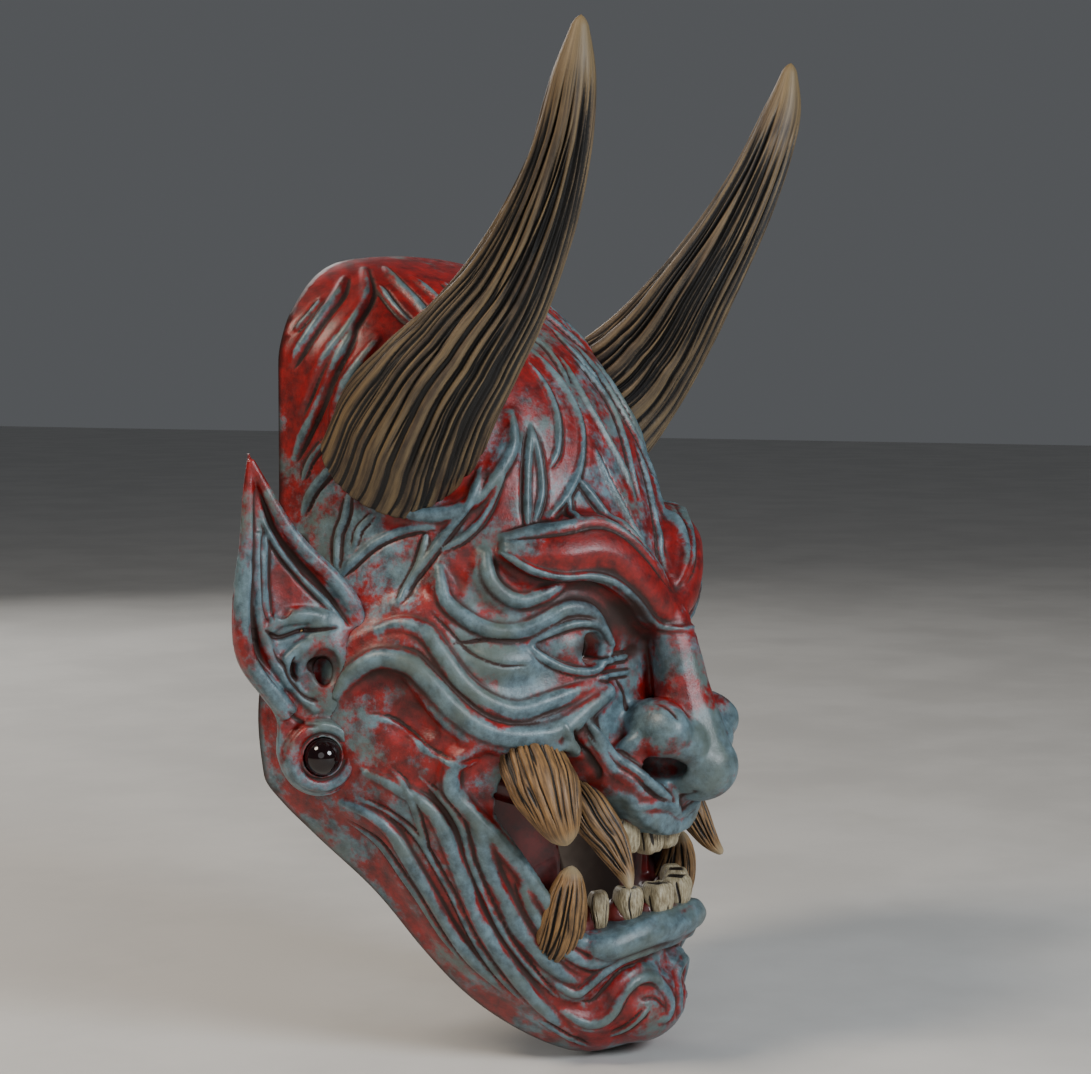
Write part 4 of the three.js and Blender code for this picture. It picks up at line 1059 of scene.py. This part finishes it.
def plainMaterial(name, first, second, patternMm, roughness, metallic=0.0, bumpMm=0.1, **extra):
    material, tree = newMaterial(name)
    where = addNode(tree, "TexCoord").outputs["Object"]
    cloud = addNode(tree, "TexNoise", {"Vector": where, "Scale": perMm(patternMm), "Detail": 6, "Roughness": 0.62}).outputs["Fac"]
    grain = addNode(tree, "TexNoise", {"Vector": where, "Scale": perMm(patternMm / 8), "Detail": 3}).outputs["Fac"]
    share = addNode(tree, "MapRange", {0: cloud, 1: 0.35, 2: 0.65}, interpolation_type="SMOOTHSTEP").outputs[0]
    colour = addNode(tree, "Mix", {0: share, 6: linear(first), 7: linear(second)}, data_type="RGBA").outputs[2]
    rough = addNode(tree, "MapRange", {0: cloud, 1: 0.3, 2: 0.7, 3: roughness, 4: roughness + 0.14}).outputs[0]
    bump = addNode(tree, "Bump", {"Strength": 0.3, "Distance": bumpMm / 1000, "Height": grain}).outputs["Normal"]
    finishMaterial(tree, addNode(tree, "BsdfPrincipled", {
        "Base Color": colour, "Roughness": rough, "Metallic": metallic, "Normal": bump, **extra}))
    return material


def beadMaterial():
    # polished garnet glass: near black with a dark red cloud inside, and a hard clean highlight
    material, tree = newMaterial("garnetGlass")
    where = addNode(tree, "TexCoord").outputs["Object"]
    cloud = addNode(tree, "TexNoise", {"Vector": where, "Scale": perMm(5), "Detail": 4}).outputs["Fac"]
    colour = addNode(tree, "Mix", {0: cloud, 6: linear("#060203"), 7: linear("#1c0607")}, data_type="RGBA").outputs[2]
    bump = addNode(tree, "Bump", {"Strength": 0.03, "Distance": 0.0004, "Height": cloud}).outputs["Normal"]
    finishMaterial(tree, addNode(tree, "BsdfPrincipled", {
        "Base Color": colour, "Roughness": 0.07, "IOR": 1.5, "Normal": bump, "Coat Weight": 0.15, "Coat Roughness": 0.03}))
    return material


def leatherMaterial():
    # soft brown goatskin over felt, with a pebbled grain about 1 mm across and pale linen stitches
    material, tree = newMaterial("goatskinLeather")
    where = addNode(tree, "TexCoord").outputs["Object"]
    thread = addNode(tree, "Attribute", attribute_name="patina").outputs["Fac"]
    cloud = addNode(tree, "TexNoise", {"Vector": where, "Scale": perMm(14), "Detail": 5}).outputs["Fac"]
    pebble = addNode(tree, "TexVoronoi", {"Vector": where, "Scale": perMm(1.1)}, feature="DISTANCE_TO_EDGE").outputs["Distance"]
    hide = addNode(tree, "Mix", {0: cloud, 6: linear("#53301b"), 7: linear("#7c4c2c")}, data_type="RGBA").outputs[2]
    creased = addNode(tree, "Mix", {0: addNode(tree, "MapRange", {0: pebble, 1: 0, 2: 0.12}).outputs[0],
                                    6: linear("#341b0f"), 7: hide}, data_type="RGBA").outputs[2]
    sewn = addNode(tree, "MapRange", {0: thread, 1: 0.35, 2: 0.6}).outputs[0]
    colour = addNode(tree, "Mix", {0: sewn, 6: creased, 7: linear("#cdb98d")}, data_type="RGBA").outputs[2]
    bump = addNode(tree, "Bump", {"Strength": 0.5, "Distance": 0.0003, "Height": pebble}).outputs["Normal"]
    finishMaterial(tree, addNode(tree, "BsdfPrincipled", {
        "Base Color": colour, "Roughness": 0.62, "Normal": bump, "Sheen Weight": 0.2}))
    return material


finishes = {
    "lacquer": lacquerMaterial(),
    "horn": flutedMaterial("stainedHornwood", "#776345", "#524231", "#2d241b", "#0b0806", "#84704c", 0.7, 0.5),
    "tusk": flutedMaterial("stainedBone", "#967145", "#6f5230", "#45301c", "#0c0805", "#b8a988", 0.5, 0.48),
    "tooth": flutedMaterial("oldIvoryBone", "#b9ad90", "#978868", "#6a5b43", "#1c130c", "#a39679", 0.5, 0.42),
    "gum": plainMaterial("darkRedUrushi", "#3a0807", "#650f0d", 8, 0.36, **{"IOR": 1.52, "Coat Weight": 0.3}),
    "bead": beadMaterial(),
    "pad": leatherMaterial()}
for kind, group in pieces.items():
    for piece in group:
        piece.data.materials.clear()
        piece.data.materials.append(finishes[kind])
fittingFinishes = {
    "dowel": plainMaterial("cypressDowel", "#b98a58", "#d0a673", 3, 0.6),  # turned pale wood with fine pores
    "peg": plainMaterial("cypressPeg", "#b98a58", "#d0a673", 3, 0.6),
    "screw": plainMaterial("agedBrass", "#7d6230", "#b89250", 3, 0.3, 1.0, 0.05),  # machined brass, dulled by handling
    "washer": plainMaterial("agedBrassWasher", "#7d6230", "#b89250", 3, 0.34, 1.0, 0.05)}
for node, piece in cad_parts.items():
    for word, material in fittingFinishes.items():
        if word in node:
            piece.data.materials.clear()
            piece.data.materials.append(material)


# floor, light and camera
say("stage")
low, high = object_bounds()
bm = bmesh.new()
bmesh.ops.create_grid(bm, x_segments=1, y_segments=1, size=6)
bmesh.ops.translate(bm, vec=(0, 0, low.z - 0.0006), verts=bm.verts)
floor = newPiece("floor", bm)
floor.data.materials.append(plainMaterial("paleFloor", "#c9c7c3", "#d3d1cd", 120, 0.6, 0.0, 0.02))
floor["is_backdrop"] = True


def softLight(name, place, aim, size, power, color):
    lamp = bpy.data.lights.new(name, "AREA")
    lamp.shape, lamp.size, lamp.energy, lamp.color = "DISK", size, power, color
    light = bpy.data.objects.new(name, lamp)
    light.location = place
    light.rotation_euler = (Vector(aim) - Vector(place)).to_track_quat("-Z", "Y").to_euler()
    bpy.context.scene.collection.objects.link(light)


softLight("key", (-0.25, -1.15, 0.55), (0, -0.05, 0.03), 0.5, 13, (0.86, 0.93, 1))
softLight("warmTop", (-0.75, 0.35, 0.95), (-0.02, -0.03, 0.08), 0.4, 11, (1, 0.86, 0.7))
softLight("fill", (-1.3, -0.6, 0.4), (0, -0.03, 0.03), 0.9, 2.5, (1, 1, 1))
softLight("backFill", (0.8, 1.2, 0.6), (0, 0, 0.03), 0.9, 7, (1, 0.98, 0.95))
world = bpy.data.worlds.new("studio")
world.use_nodes = True
world.node_tree.nodes["Background"].inputs[0].default_value = linear("#8d9094")
world.node_tree.nodes["Background"].inputs[1].default_value = 0.35
bpy.context.scene.world = world

camera = bpy.data.objects.new("camera", bpy.data.cameras.new("camera"))
camera.data.lens, camera.data.sensor_width, camera.data.clip_start = 85.8, 36, 0.01
forward = Vector((0.86392, 0.49878, -0.06976)).normalized()
right = forward.cross(Vector((0, 0, 1))).normalized()
upward = right.cross(forward)
camera.matrix_world = Matrix.Translation((-0.7922, -0.5205, 0.0982)) @ Matrix((right, upward, -forward)).transposed().to_4x4()
bpy.context.scene.collection.objects.link(camera)
bpy.context.scene.camera = camera

low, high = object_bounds()
say("done")
